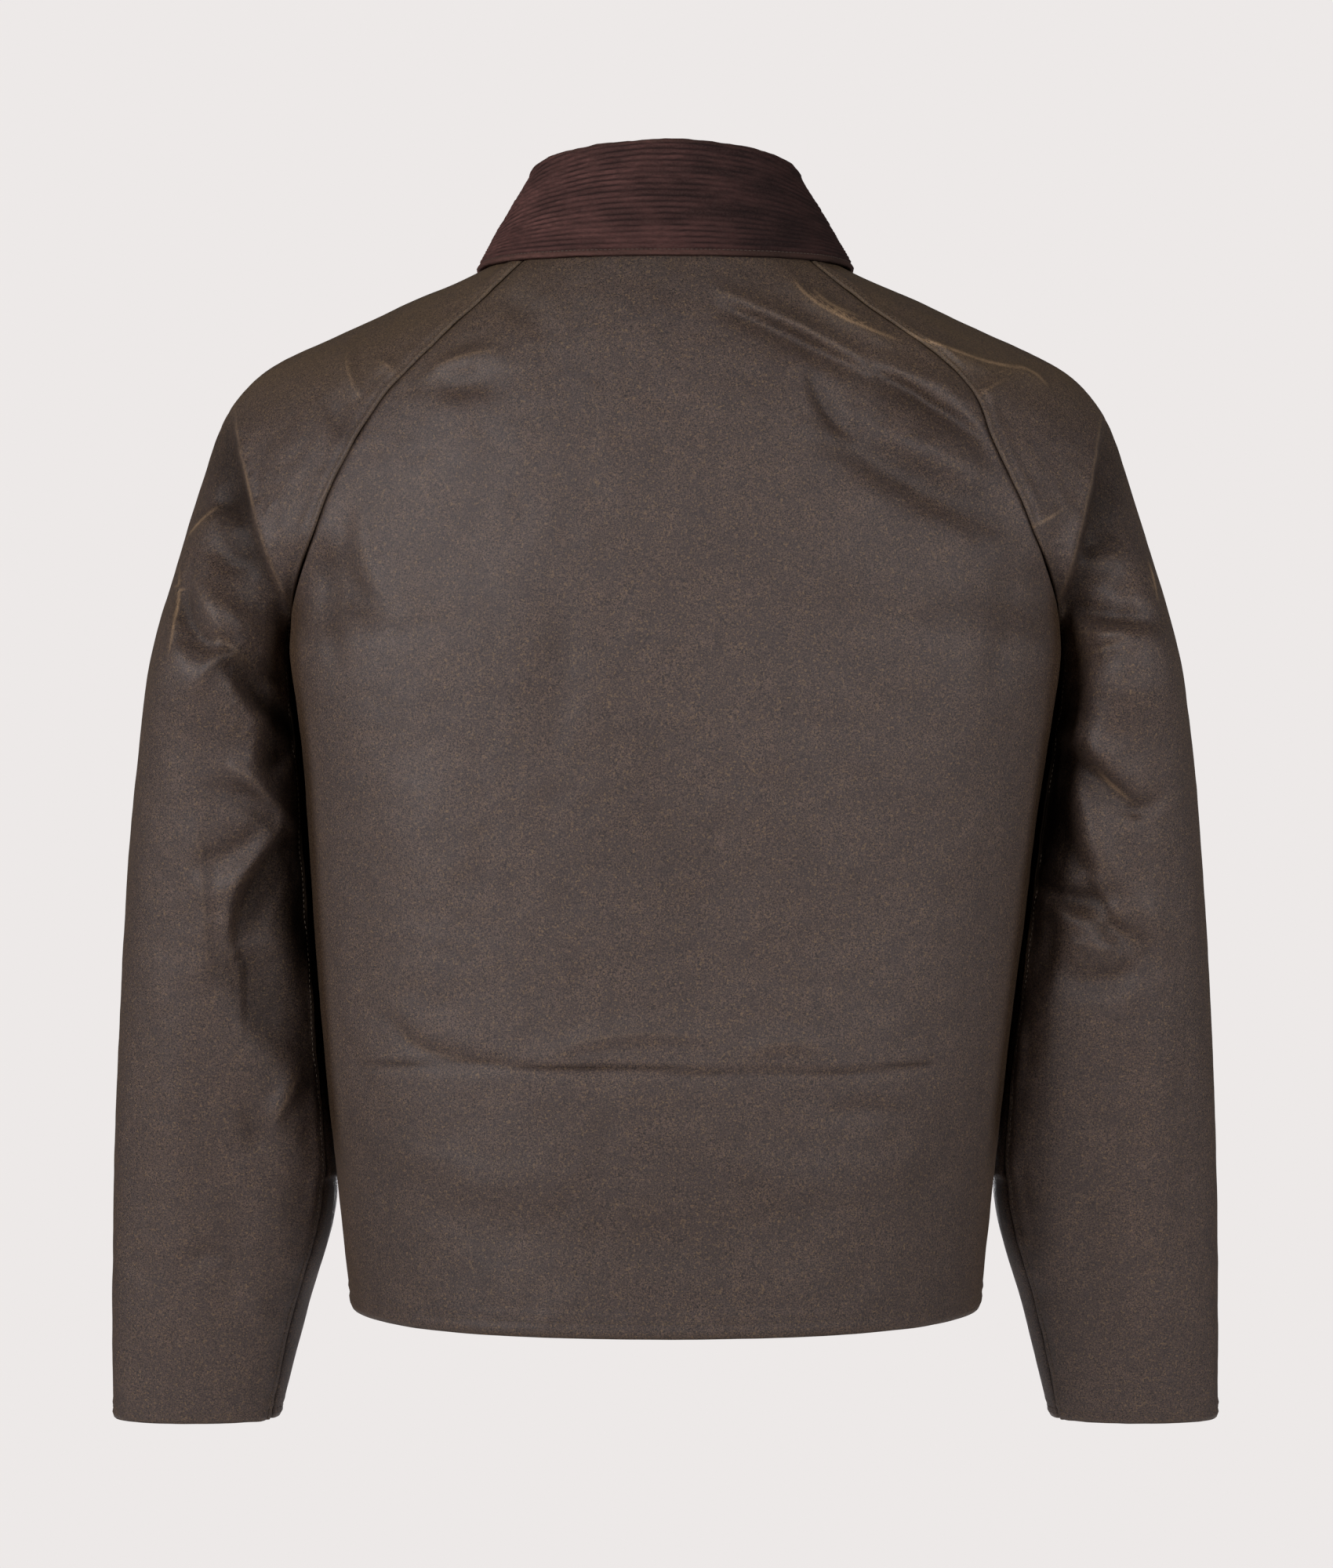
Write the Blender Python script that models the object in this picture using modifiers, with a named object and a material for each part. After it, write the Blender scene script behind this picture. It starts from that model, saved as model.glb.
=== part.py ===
"""Waxed cotton jacket with raglan sleeves, a folded corduroy collar and a front zip.

Metres, +Z up. The front faces -Y and the wearer's left side is +X. The origin is the
nape: the inner face of the cloth at the middle of the back neck seam, where a wearer's
neck and shoulders carry the jacket. It hangs filled out, as if on a wearer.
Tables are in millimetres; "drop" is the distance below the nape.
"""
import math

import bmesh
import bpy
import numpy as np

MM = 0.001

# Driving dimensions
COAT_WALL = 1.5          # waxed cotton with its turnings, mm
COLLAR_WALL = 3.0        # folded corduroy, mm
SEAM_GAP = 0.3           # between neighbouring pieces, mm
SLEEVE_TRIM = 0.4        # the walls of the sleeve pieces lean together at their bent seams, mm
NECK_BACK_Y = 80.0       # outer face of the back neck seam, from the body's middle plane
HEM_DROP = 628.0         # nape to hem
CUFF_DROP = 705.0        # nape to cuff edge
PIT_DROP = 246.0         # nape to the bottom of the armhole
PIT_EASE = 0.9           # the under sleeve's top edge lies this far out and below it, mm
PIT_RISE = 16.0          # how much higher the armhole edge lies one level up
ZIP_GAP = 10.0           # between the front edges, over the zip's teeth
ZIP_TOP_LEVEL = 0.45     # where the zip tapes start below the neck seam
TAPE_WIDTH = 15.0
TAPE_WALL = 1.0
TAPE_SETBACK = 0.7       # tapes behind the inner face of the fronts, mm
SLIDER_LEVEL = 1.3
SLIDER_LIFT = 0.3        # slider above the tapes, mm
SLIDER_HEIGHT = 3.2      # top face of the slider's body above the tapes, mm
HINGE_HEIGHT = 4.2       # pull tab's axis above the tapes, mm
BRIDGE_TOP = 1.9         # top of the slider's bridge above that axis, mm
BRIDGE_REACH = 3.0       # from the axis to the middle of each bridge leg, mm
PULL_WIDTH = 6.0
PULL_LENGTH = 26.0
PULL_WALL = 1.2
PULL_WINDOW = 3.2        # width of the pull tab's window
PULL_WINDOW_END = 5.8    # from the axis to the window's far side, mm
SIDE_Y = -14.0           # side seam, from the body's middle plane
SHOULDER_FOLD_REACH = 34  # how far round the sleeve the shoulder fold dies out, degrees
BODY_COLUMNS = 10        # faces across half the back
FRONT_COLUMNS = 9
SLEEVE_COLUMNS = 16
UNDER_COLUMNS = 4
COLLAR_COLUMNS = 28
TAPE_ROWS = 18
ROLL_TURNS = (0, 60, 120, 180)
SAMPLES = 160            # points along a section before it is spaced evenly
UNDER_SLEEVE_SAG = 12.0  # how far the top row of the under sleeve dips, mm

# Levels: 0 is the neck seam, SHOULDER_LEVEL where the sleeve starts to part from the body,
# PIT_LEVEL the armhole bottom, then even steps down to the hem and to the cuffs.
SHOULDER_LEVEL = 9
PIT_LEVEL = 12
HEM_LEVEL = 24
CUFF_LEVEL = 26


class Table:
    """A short table with named columns, read smoothly between its rows."""

    def __init__(self, columns, rows):
        self.columns = columns.split()
        self.values = np.array(rows, dtype=float)

    def at(self, name, key):
        """Monotone cubic through the named column at the given key (first column)."""
        keys = self.values[:, 0]
        column = self.values[:, self.columns.index(name)]
        step = np.diff(keys)
        slope = np.diff(column) / step
        tangent = np.zeros_like(column)
        tangent[0] = slope[0]
        tangent[-1] = slope[-1]
        for i in range(1, len(column) - 1):
            if slope[i - 1] * slope[i] > 0:
                near = 2 * step[i] + step[i - 1]
                far = step[i] + 2 * step[i - 1]
                tangent[i] = (near + far) / (near / slope[i - 1] + far / slope[i])
        key = np.clip(key, keys[0], keys[-1])
        i = np.clip(np.searchsorted(keys, key, side="right") - 1, 0, len(step) - 1)
        t = (key - keys[i]) / step[i]
        return ((1 + 2 * t) * (1 - t) ** 2 * column[i] + t * (1 - t) ** 2 * step[i] * tangent[i]
                + t * t * (3 - 2 * t) * column[i + 1] - t * t * (1 - t) * step[i] * tangent[i + 1])


# Sections of the upper body and shoulders together. "ridge" is the widest point: the top of
# the shoulder, then the outside of the arm.
UPPER = Table("level ridge_x ridge_y ridge_drop back_y back_drop front_y front_drop power", [
    (0, 82, 5, 6, 80, 0, -62, 88, 2.2),
    (1, 114, 4, 20.5, 92, 24, -73, 102, 2.1),
    (2, 143, 3, 31, 101, 48, -82, 116, 2.0),
    (3, 171, 2, 44, 108, 70, -90, 129, 2.0),
    (4, 196, 0, 56, 114, 92, -97, 142, 2.0),
    (5, 221, -2, 68.5, 118.5, 113, -103, 155, 2.0),
    (6, 240, -4, 80, 122, 134, -108, 167, 2.0),
    (7, 257, -6, 97, 124.5, 154, -112, 180, 2.0),
    (8, 268, -8, 116, 126, 172, -116, 192, 2.0),
    (9, 277, -10, 140, 127, 190, -119, 204, 2.0),
    (10, 286, -12, 170, 128, 209, -122, 217, 2.0),
    (11, 295, -13, 203, 128.5, 228, -124, 231, 2.0),
    (12, 303, -14, 236, 129, 246, -126, 246, 2.0),
])

# Where the raglan seams cross those sections, in degrees from the middle of the back.
RAGLAN = Table("level back_left back_right front", [
    (0, 49, 49, 125),
    (2, 48, 51.5, 132),
    (4, 47.5, 55, 138),
    (7, 45.5, 48.5, 136),
    (9, 46, 49, 134),
    (12, 47, 50.5, 130),
])

# Sections of the body below the armholes.
TORSO = Table("drop left right back_y front_y power", [
    (200, 226, 238, 128, -124, 3.1),
    (246, 221, 233, 129, -126, 3.2),
    (300, 214, 225, 129, -128, 3.1),
    (345, 211, 218.5, 128, -128, 3.0),
    (390, 208, 213, 127, -127, 2.9),
    (478, 202, 202.5, 128, -125, 2.7),
    (553, 194.5, 194.5, 130, -124, 2.45),
    (628, 187, 187, 132, -124, 2.3),
])

# Sections of the sleeves below the armholes. The rear and fore seams are in degrees round
# the sleeve from its inner side, towards the back and towards the front.
SLEEVE = Table("drop outer inner centre_y half_depth rear_seam fore_seam inner_power", [
    (200, 297, 221, -14, 82, 18, 30, 2.2),
    (246, 306, 221, -14, 82, 18, 30, 2.3),
    (300, 316, 216, -28, 78, 20, 40, 3.0),
    (400, 326, 209, -36, 68, 22, 44, 3.2),
    (500, 332, 201, -41, 55, 24, 45, 3.0),
    (560, 334.7, 198.8, -45, 46, 28, 45, 2.7),
    (640, 337, 218, -52, 38, 28, 40, 2.3),
    (705, 337.6, 235, -58, 31, 24, 32, 2.2),
])
SLEEVE_POWER = 2.2
SLEEVE_CLEARANCE = 1.6   # between the inner side of a sleeve and the body, mm

# The folded collar round the neck seam; leaf_level and leaf_angle place its free edge on
# the upper sections.
COLLAR = Table("angle stand leaf_level leaf_angle", [
    (0, 49.5, 0.9, 0),
    (40, 47.8, 0.9, 40),
    (90, 46.5, 0.9, 90),
    (130, 40, 1.1, 126),
    (158, 29, 1.8, 144),
    (175, 24, 2.5, 150),
])
COLLAR_END = 175
ROLL_RADIUS = 5.5        # of the collar's fold, mm
LEAF_LIFT = 4.5          # outer face of the collar's free edge above the cloth under it, mm

# The largest folds, as troughs running between two points seen from the back.
FOLDS = Table("hand x_start drop_start x_end drop_end width depth", [
    (1, 252, 245, 214, 290, 17, 9),
    (1, 214, 290, 205, 296, 15, 7),
    (1, 250, 308, 218, 343, 16, 6),
    (-1, 224, 287, 262, 325, 17, 9),
    (-1, 262, 325, 287, 331, 15, 7),
    (-1, 212, 382, 250, 392, 16, 5),
    (-1, 262, 395, 284, 420, 16, 5),
])
SHOULDER_CREASE = Table("level angle strength", [
    (6, 92, 0),
    (7, 83, 0.5),
    (8, 72, 1),
    (9, 63, 1),
    (10, 55, 0.4),
    (11, 51, 0),
])
SHOULDER_FOLD = 9.0      # depth of the fold from the shoulder point down to the armpit, mm


def blend_at(level):
    """0 where the section is all shoulder, 1 where body and sleeve are apart."""
    t = min(max((level - SHOULDER_LEVEL) / (PIT_LEVEL - SHOULDER_LEVEL), 0), 1)
    return t * t * (3 - 2 * t)


def section(angles, half, side, back, front, power):
    """Points round a section; side, back and front are (y, z), angles run from the back."""
    sine = np.sin(np.radians(angles))
    sine = np.sign(sine) * np.abs(sine) ** (2 / power)
    cosine = np.cos(np.radians(angles))
    reach = np.abs(cosine) ** (2 / power)
    end_y = np.where(cosine > 0, back[0], front[0])
    end_z = np.where(cosine > 0, back[1], front[1])
    return np.stack([half * sine,
                     side[0] + (end_y - side[0]) * reach,
                     side[1] + (end_z - side[1]) * reach], axis=-1)


def upper_curve(level, start, end):
    """Part of the shoulder section, between two angles."""
    row = {name: float(UPPER.at(name, level)) for name in UPPER.columns}
    return section(np.linspace(start, end, SAMPLES), row["ridge_x"],
                   (row["ridge_y"], -row["ridge_drop"]), (row["back_y"], -row["back_drop"]),
                   (row["front_y"], -row["front_drop"]), row["power"])


def body_drop(level):
    return PIT_DROP + (level - PIT_LEVEL) * (HEM_DROP - PIT_DROP) / (HEM_LEVEL - PIT_LEVEL)


def torso_half(drop, hand):
    return float(TORSO.at("left" if hand > 0 else "right", drop))


def torso_curve(level, hand, start, end):
    """Part of the body's own section, between two angles."""
    if level < PIT_LEVEL:
        side_drop = PIT_DROP - (PIT_LEVEL - level) * PIT_RISE
        back_drop = float(UPPER.at("back_drop", level))
        front_drop = float(UPPER.at("front_drop", level))
    else:
        side_drop = back_drop = front_drop = body_drop(level)
    return section(np.linspace(start, end, SAMPLES), torso_half(side_drop, hand),
                   (SIDE_Y, -side_drop), (float(TORSO.at("back_y", back_drop)), -back_drop),
                   (float(TORSO.at("front_y", front_drop)), -front_drop),
                   float(TORSO.at("power", side_drop)))


def raglan_angle(level, hand, face):
    if face == "front":
        return float(RAGLAN.at("front", level))
    return float(RAGLAN.at("back_left" if hand > 0 else "back_right", level))


def centre_angle(level, face, inset):
    """Angle of a panel's middle edge, the given distance from the centre plane."""
    if face == "back":
        return 0.0
    if level < PIT_LEVEL:
        half = float(UPPER.at("ridge_x", level))
        power = float(UPPER.at("power", level))
    else:
        half = torso_half(body_drop(level), 1)
        power = float(TORSO.at("power", body_drop(level)))
    return 180.0 - math.degrees(math.asin((inset / half) ** (power / 2)))


def cut_back(curve, inset):
    """The curve without its first stretch, to the given distance from the centre plane."""
    if inset <= 0:
        return curve
    first = int(np.argmax(curve[:, 0] > inset))
    before, after = curve[first - 1], curve[first]
    start = before + (after - before) * (inset - before[0]) / (after[0] - before[0])
    return np.vstack([start, curve[first:]])


def body_curve(level, hand, face, inset=0.0):
    """Half a body section, from the middle to the raglan seam or side seam."""
    middle = 0 if face == "back" else 180
    blend = blend_at(level)
    if blend >= 1:
        return cut_back(torso_curve(level, hand, middle, 90), inset)
    curve = upper_curve(level, middle, raglan_angle(level, hand, face))
    if blend > 0:
        curve = curve * (1 - blend) + torso_curve(level, hand, middle, 90) * blend
    return cut_back(curve, inset)


def sleeve_drop(level):
    return PIT_DROP + (level - PIT_LEVEL) * (CUFF_DROP - PIT_DROP) / (CUFF_LEVEL - PIT_LEVEL)


def ring_points(drops, angles, hand):
    """Points of the sleeve tube; angles run from its inner side round by the back."""
    inner = np.array([SLEEVE.at("inner", drop) for drop in drops])
    body = np.array([torso_half(drop, hand) for drop in drops])
    clearance = SLEEVE_CLEARANCE * np.clip((drops - PIT_DROP) / 20, 0, 1)
    inner = np.where(drops < 555, body + clearance, np.maximum(inner, body + clearance))
    outer = SLEEVE.at("outer", drops)
    middle = (outer + inner) / 2
    sine = np.sin(np.radians(angles))
    cosine = np.cos(np.radians(angles))
    behind = (cosine > 0) & (sine > 0)
    power = 2 / np.where(behind, SLEEVE.at("inner_power", drops), SLEEVE_POWER)
    x = middle - (outer - middle) * np.sign(cosine) * np.abs(cosine) ** power
    y = SLEEVE.at("centre_y", drops) + SLEEVE.at("half_depth", drops) * np.sign(sine) * np.abs(sine) ** power
    return np.stack([x, y, -drops], axis=-1)


def sleeve_curve(level, hand):
    """Across a top sleeve, from its rear edge over the outside to its front edge."""
    if PIT_LEVEL - 1 < level < PIT_LEVEL:
        t = level - (PIT_LEVEL - 1)
        return sleeve_curve(PIT_LEVEL - 1, hand) * (1 - t) + sleeve_curve(PIT_LEVEL, hand) * t
    if level >= PIT_LEVEL:
        drop = sleeve_drop(level)
        angles = np.linspace(SLEEVE.at("rear_seam", drop), 360 - SLEEVE.at("fore_seam", drop), SAMPLES)
        return ring_points(np.full(SAMPLES, drop), angles, hand)
    shoulder = upper_curve(level, raglan_angle(level, hand, "back"), raglan_angle(level, hand, "front"))
    blend = blend_at(level)
    if blend <= 0:
        return shoulder
    drop = PIT_DROP - (PIT_LEVEL - level) * PIT_RISE
    ring = ring_points(np.full(SAMPLES, drop), np.linspace(0, 360, SAMPLES), hand)
    return shoulder * (1 - blend) + ring * blend


def armhole_curve(hand):
    """The armhole's bottom, from the rear sleeve seam down and up to the fore seam."""
    levels = np.linspace(PIT_LEVEL - 1, PIT_LEVEL, SAMPLES // 2)
    rear = [body_curve(level, hand, "back")[-1] for level in levels]
    fore = [body_curve(level, hand, "front")[-1] for level in levels[::-1]]
    curve = np.array(rear + fore)
    curve[:, 0] += PIT_EASE
    curve[:, 2] -= PIT_EASE
    return curve


def under_curve(level, hand):
    """Across an under sleeve, from the rear seam by the inner side to the fore seam."""
    if level < PIT_LEVEL:
        t = level - (PIT_LEVEL - 1)
        return armhole_curve(hand) * (1 - t) + under_curve(PIT_LEVEL, hand) * t
    across = np.linspace(-1, 1, SAMPLES)
    sag = UNDER_SLEEVE_SAG * max(0, 1 - (level - PIT_LEVEL)) * (1 - across ** 2)
    drop = sleeve_drop(level)
    rear = float(SLEEVE.at("rear_seam", drop))
    fore = float(SLEEVE.at("fore_seam", drop))
    angles = np.where(across < 0, -across * rear, -across * fore)
    return ring_points(drop + sag, angles, hand)


def even_points(curve, count):
    """The curve re-spaced to count + 1 points at equal distances."""
    lengths = np.concatenate([[0], np.cumsum(np.linalg.norm(np.diff(curve, axis=0), axis=1))])
    places = np.linspace(0, lengths[-1], count + 1)
    return np.stack([np.interp(places, lengths, curve[:, axis]) for axis in range(3)], axis=-1)


def shoulder_fold(points, level, hand, rear_angle):
    """Let the cloth beyond the shoulder fold drop back behind the cloth over the shoulder."""
    start = float(SHOULDER_CREASE.at("angle", level))
    strength = float(SHOULDER_CREASE.at("strength", level)) * SHOULDER_FOLD
    angles = np.linspace(rear_angle, raglan_angle(level, hand, "front"), len(points))
    t = (angles - start) / SHOULDER_FOLD_REACH
    step = np.clip(t / 0.3, 0, 1) * np.clip(1 - (t - 0.3) / 0.7, 0, 1)
    points[:, 1] -= strength * step
    return points


def press_folds(points, hand):
    """Push the largest folds forward into the cloth that faces the back."""
    amount = np.zeros(points.shape[:2])
    place = np.stack([points[..., 0], -points[..., 2]], axis=-1)
    for side, x0, drop0, x1, drop1, width, depth in FOLDS.values:
        if side != hand:
            continue
        run = np.array([x1 - x0, drop1 - drop0])
        t = np.clip(((place - (x0, drop0)) @ run) / (run @ run), 0, 1)
        gap = np.linalg.norm(place - (np.array([x0, drop0]) + t[..., None] * run), axis=-1)
        amount += depth * np.exp(-(gap / width) ** 2)
    points[..., 1] -= amount * np.clip(points[..., 1] / 30 + 1, 0, 1)
    return points


def trim_seams(points, trim=SEAM_GAP / 2):
    """Take the trim off both side edges of a panel, so that it clears its neighbours."""
    for edge, inner in ((0, 1), (-1, -2)):
        run = points[:, inner] - points[:, edge]
        points[:, edge] += run / np.linalg.norm(run, axis=-1, keepdims=True) * trim
    return points


def panel_rows(levels, curve, columns):
    return np.array([even_points(curve(level), columns) for level in levels])


def mirror_side(points, hand):
    """Tables describe the left side; the right side has its x turned round."""
    return points * np.array([hand, 1, 1])


def to_frame(points):
    """Millimetres from the body's middle plane to metres from the nape."""
    return (points - np.array([0, NECK_BACK_Y - COAT_WALL, 0])) * MM


def material(name, color, roughness, metallic=0.0):
    made = bpy.data.materials.get(name) or bpy.data.materials.new(name)
    made.use_nodes = True
    shader = made.node_tree.nodes["Principled BSDF"]
    shader.inputs["Base Color"].default_value = (*color, 1)
    shader.inputs["Roughness"].default_value = roughness
    shader.inputs["Metallic"].default_value = metallic
    return made


def waxed_cotton():
    return material("waxed_cotton", (0.075, 0.060, 0.048), 0.55)


def corduroy():
    return material("corduroy", (0.060, 0.031, 0.027), 0.9)


def zip_tape():
    return material("zip_tape", (0.030, 0.026, 0.022), 0.8)


def antique_brass():
    return material("antique_brass", (0.40, 0.29, 0.14), 0.35, 1.0)


def add_object(name, mesh, finish):
    made = bpy.data.objects.new(name, mesh)
    JACKET.objects.link(made)
    mesh.materials.append(finish)
    return made


def cloth_panel(name, points, wall, finish):
    """A sheet through a grid of points, with its wall grown away from its outer face."""
    rows, columns = points.shape[:2]
    shape = bmesh.new()
    bmesh.ops.create_grid(shape, x_segments=columns - 1, y_segments=rows - 1, size=1)
    placed = to_frame(points)
    for vert in shape.verts:
        column = round((vert.co.x + 1) / 2 * (columns - 1))
        row = round((1 - vert.co.y) / 2 * (rows - 1))
        vert.co = placed[row, column]
    mesh = bpy.data.meshes.new(name)
    shape.to_mesh(mesh)
    shape.free()
    mesh.shade_smooth()
    panel = add_object(name, mesh, finish)
    thicken = panel.modifiers.new("wall", "SOLIDIFY")
    thicken.thickness = wall * MM
    thicken.offset = -1
    thicken.use_even_offset = True
    return panel


def side_name(hand):
    return "left" if hand > 0 else "right"


def make_back():
    levels = range(HEM_LEVEL + 1)
    left = panel_rows(levels, lambda level: body_curve(level, 1, "back"), BODY_COLUMNS)
    right = panel_rows(levels, lambda level: body_curve(level, -1, "back"), BODY_COLUMNS)
    points = np.concatenate([left[:, ::-1], mirror_side(right, -1)[:, 1:]], axis=1)
    cloth_panel("back", trim_seams(points), COAT_WALL, waxed_cotton())


def make_front(hand):
    levels = range(HEM_LEVEL + 1)
    points = panel_rows(levels, lambda level: body_curve(level, hand, "front", ZIP_GAP / 2), FRONT_COLUMNS)
    points = mirror_side(trim_seams(points), hand)
    if hand < 0:
        points = points[:, ::-1]
    cloth_panel("front_" + side_name(hand), points, COAT_WALL, waxed_cotton())


def top_sleeve_curve(level, hand):
    curve = sleeve_curve(level, hand)
    if level <= PIT_LEVEL - 1:
        curve = shoulder_fold(curve, level, hand, raglan_angle(level, hand, "back"))
    return curve


def make_sleeve(hand):
    levels = range(CUFF_LEVEL + 1)
    points = panel_rows(levels, lambda level: top_sleeve_curve(level, hand), SLEEVE_COLUMNS)
    points = mirror_side(trim_seams(press_folds(points, hand), SLEEVE_TRIM), hand)
    if hand > 0:
        points = points[:, ::-1]
    cloth_panel("sleeve_top_" + side_name(hand), points, COAT_WALL, waxed_cotton())

    levels = range(PIT_LEVEL - 1, CUFF_LEVEL + 1)
    points = panel_rows(levels, lambda level: under_curve(level, hand), UNDER_COLUMNS)
    points = mirror_side(trim_seams(press_folds(points, hand), SLEEVE_TRIM), hand)
    if hand < 0:
        points = points[:, ::-1]
    cloth_panel("sleeve_under_" + side_name(hand), points, COAT_WALL, waxed_cotton())


def upper_point(level, angle):
    """A point of the shoulder section; below 0 degrees it lies past the middle of the back."""
    return upper_curve(level, angle, angle)[0]


def upper_normal(level, angle):
    """Outward direction of the shoulder form."""
    down = upper_point(level + 0.2, angle) - upper_point(max(level - 0.2, 0), angle)
    across = upper_point(level, angle + 1) - upper_point(level, angle - 1)
    normal = np.cross(across, down)
    return normal / np.linalg.norm(normal)


def collar_section(angle):
    """The collar's corduroy face, from the neck seam up the stand, over and down the fall."""
    base = upper_point(0, angle)
    across = upper_point(0, angle + 1) - upper_point(0, angle - 1)
    out = np.array([across[1], -across[0], 0.0])
    out /= -np.linalg.norm(out)
    up = np.array([0.0, 0.0, 1.0])
    stand = float(COLLAR.at("stand", angle))
    leaf_level = float(COLLAR.at("leaf_level", angle))
    leaf_angle = float(COLLAR.at("leaf_angle", angle))
    leaf = upper_point(leaf_level, leaf_angle) + LEAF_LIFT * upper_normal(leaf_level, leaf_angle)
    foot = base + up * 2 * SEAM_GAP - out * COLLAR_WALL
    centre = base + up * (stand - ROLL_RADIUS) - out * ROLL_RADIUS
    stand_top = centre - out * ROLL_RADIUS
    points = [foot + (stand_top - foot) * t for t in (0, 0.35, 0.7)]
    for turn in np.radians(ROLL_TURNS):
        points.append(centre + ROLL_RADIUS * (up * math.sin(turn) - out * math.cos(turn)))
    fall_top = centre + out * ROLL_RADIUS
    points += [fall_top + (leaf - fall_top) * t for t in (0.3, 0.65, 1)]
    return np.array(points)


def make_collar():
    behind = np.linspace(0, 90, COLLAR_COLUMNS // 4 + 1)
    before = np.linspace(90, COLLAR_END, COLLAR_COLUMNS // 4 + 1)[1:]
    half = np.concatenate([behind, before])
    angles = np.concatenate([-half[:0:-1], half])
    sections = [mirror_side(collar_section(abs(angle)), 1 if angle > 0 else -1) for angle in angles]
    points = np.array(sections).transpose(1, 0, 2)[::-1]
    cloth_panel("collar", points, COLLAR_WALL, corduroy())


def front_point(level, x):
    """A point of the outer front face, the given distance from the centre plane."""
    angle = centre_angle(level, "front", x)
    blend = blend_at(level)
    if blend >= 1:
        point = torso_curve(level, 1, angle, angle)[0]
    elif blend <= 0:
        point = upper_point(level, angle)
    else:
        point = upper_point(level, angle) * (1 - blend) + torso_curve(level, 1, angle, angle)[0] * blend
    return np.array([x, point[1], point[2]])


def front_slope(level):
    """Unit vectors up along the zip and out of it, at the given level."""
    up = front_point(level - 0.2, ZIP_GAP / 2) - front_point(level + 0.2, ZIP_GAP / 2)
    up[0] = 0
    up /= np.linalg.norm(up)
    return up, np.array([0, -up[2], up[1]])


def zip_plane(level, x):
    """A point of the tape's outer face, just behind the front's inner face."""
    return front_point(level, x) - front_slope(level)[1] * (COAT_WALL + TAPE_SETBACK)


def make_zip_tape(hand):
    levels = np.linspace(ZIP_TOP_LEVEL, HEM_LEVEL - 0.2, TAPE_ROWS)
    across = (SEAM_GAP / 2, TAPE_WIDTH)
    points = np.array([[zip_plane(level, ZIP_GAP / 2) * (0, 1, 1) + (x, 0, 0) for x in across]
                       for level in levels])
    points = mirror_side(points, hand)
    if hand < 0:
        points = points[:, ::-1]
    cloth_panel("zip_tape_" + side_name(hand), points, TAPE_WALL, zip_tape())


def box(shape, centre, size):
    """Add a box, in millimetres along the zip's own width, length and height."""
    made = bmesh.ops.create_cube(shape, size=1)["verts"]
    bmesh.ops.scale(shape, vec=size, verts=made)
    bmesh.ops.translate(shape, vec=centre, verts=made)
    return made


def zip_piece(name, shape, finish):
    """Turn a slider piece from the zip's own axes to its place; its origin is the hinge."""
    up, out = front_slope(SLIDER_LEVEL)
    hinge = zip_plane(SLIDER_LEVEL, ZIP_GAP / 2) * (0, 1, 1) + out * HINGE_HEIGHT
    for vert in shape.verts:
        across, along, height = vert.co
        vert.co = (np.array([across, 0, 0]) + up * along + out * (height - HINGE_HEIGHT)) * MM
    bmesh.ops.recalc_face_normals(shape, faces=shape.faces)
    mesh = bpy.data.meshes.new(name)
    shape.to_mesh(mesh)
    shape.free()
    piece = add_object(name, mesh, finish)
    piece.location = to_frame(hinge)
    return piece


def join_boxes(name, boxes, finish):
    """Union of boxes, each given as (centre, size), as one closed piece."""
    pieces = []
    for number, (centre, size) in enumerate(boxes):
        shape = bmesh.new()
        box(shape, centre, size)
        pieces.append(zip_piece(name if number == 0 else f"{name}_cut_{number}", shape, finish))
    for piece in pieces[1:]:
        JACKET.objects.unlink(piece)
        CUTTERS.objects.link(piece)
        piece.hide_render = True
        piece.display_type = "WIRE"
        union = pieces[0].modifiers.new("union", "BOOLEAN")
        union.operation = "UNION"
        union.object = piece
    return pieces[0]


def make_slider():
    leg_height = HINGE_HEIGHT + BRIDGE_TOP - SLIDER_HEIGHT + 0.2
    leg_middle = SLIDER_HEIGHT - 0.2 + leg_height / 2
    join_boxes("zip_slider", [
        ((0, -1, SLIDER_LIFT / 2 + SLIDER_HEIGHT / 2), (8.4, 13, SLIDER_HEIGHT - SLIDER_LIFT)),
        ((0, BRIDGE_REACH, leg_middle), (2, 1.2, leg_height)),
        ((0, -BRIDGE_REACH, leg_middle), (2, 1.2, leg_height)),
        ((0, 0, HINGE_HEIGHT + BRIDGE_TOP - 0.4), (2, 2 * BRIDGE_REACH + 1.2, 0.8)),
    ], antique_brass())


def make_pull():
    """A plate with a window; its top bar lies under the slider's bridge and is the hinge."""
    across = (-PULL_WIDTH / 2, -PULL_WINDOW / 2, PULL_WINDOW / 2, PULL_WIDTH / 2)
    along = (PULL_WALL / 2, -PULL_WALL / 2, -PULL_WINDOW_END, -PULL_LENGTH + 2, -PULL_LENGTH)
    shape = bmesh.new()
    bmesh.ops.create_grid(shape, x_segments=3, y_segments=4, size=1)
    window = []
    for face in shape.faces:
        middle = face.calc_center_median()
        if abs(middle.x) < 0.1 and 0 < middle.y < 0.5:
            window.append(face)
    for vert in shape.verts:
        column = round((vert.co.x + 1) * 1.5)
        row = round((1 - vert.co.y) * 2)
        narrow = 0.6 if row == 4 else 1.0
        vert.co = (across[column] * narrow, along[row], HINGE_HEIGHT)
    bmesh.ops.delete(shape, geom=window, context="FACES")
    pull = zip_piece("zip_pull", shape, antique_brass())
    thicken = pull.modifiers.new("wall", "SOLIDIFY")
    thicken.thickness = PULL_WALL * MM
    thicken.offset = 0


def collection(name):
    made = bpy.data.collections.new(name)
    bpy.context.scene.collection.children.link(made)
    return made


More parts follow.
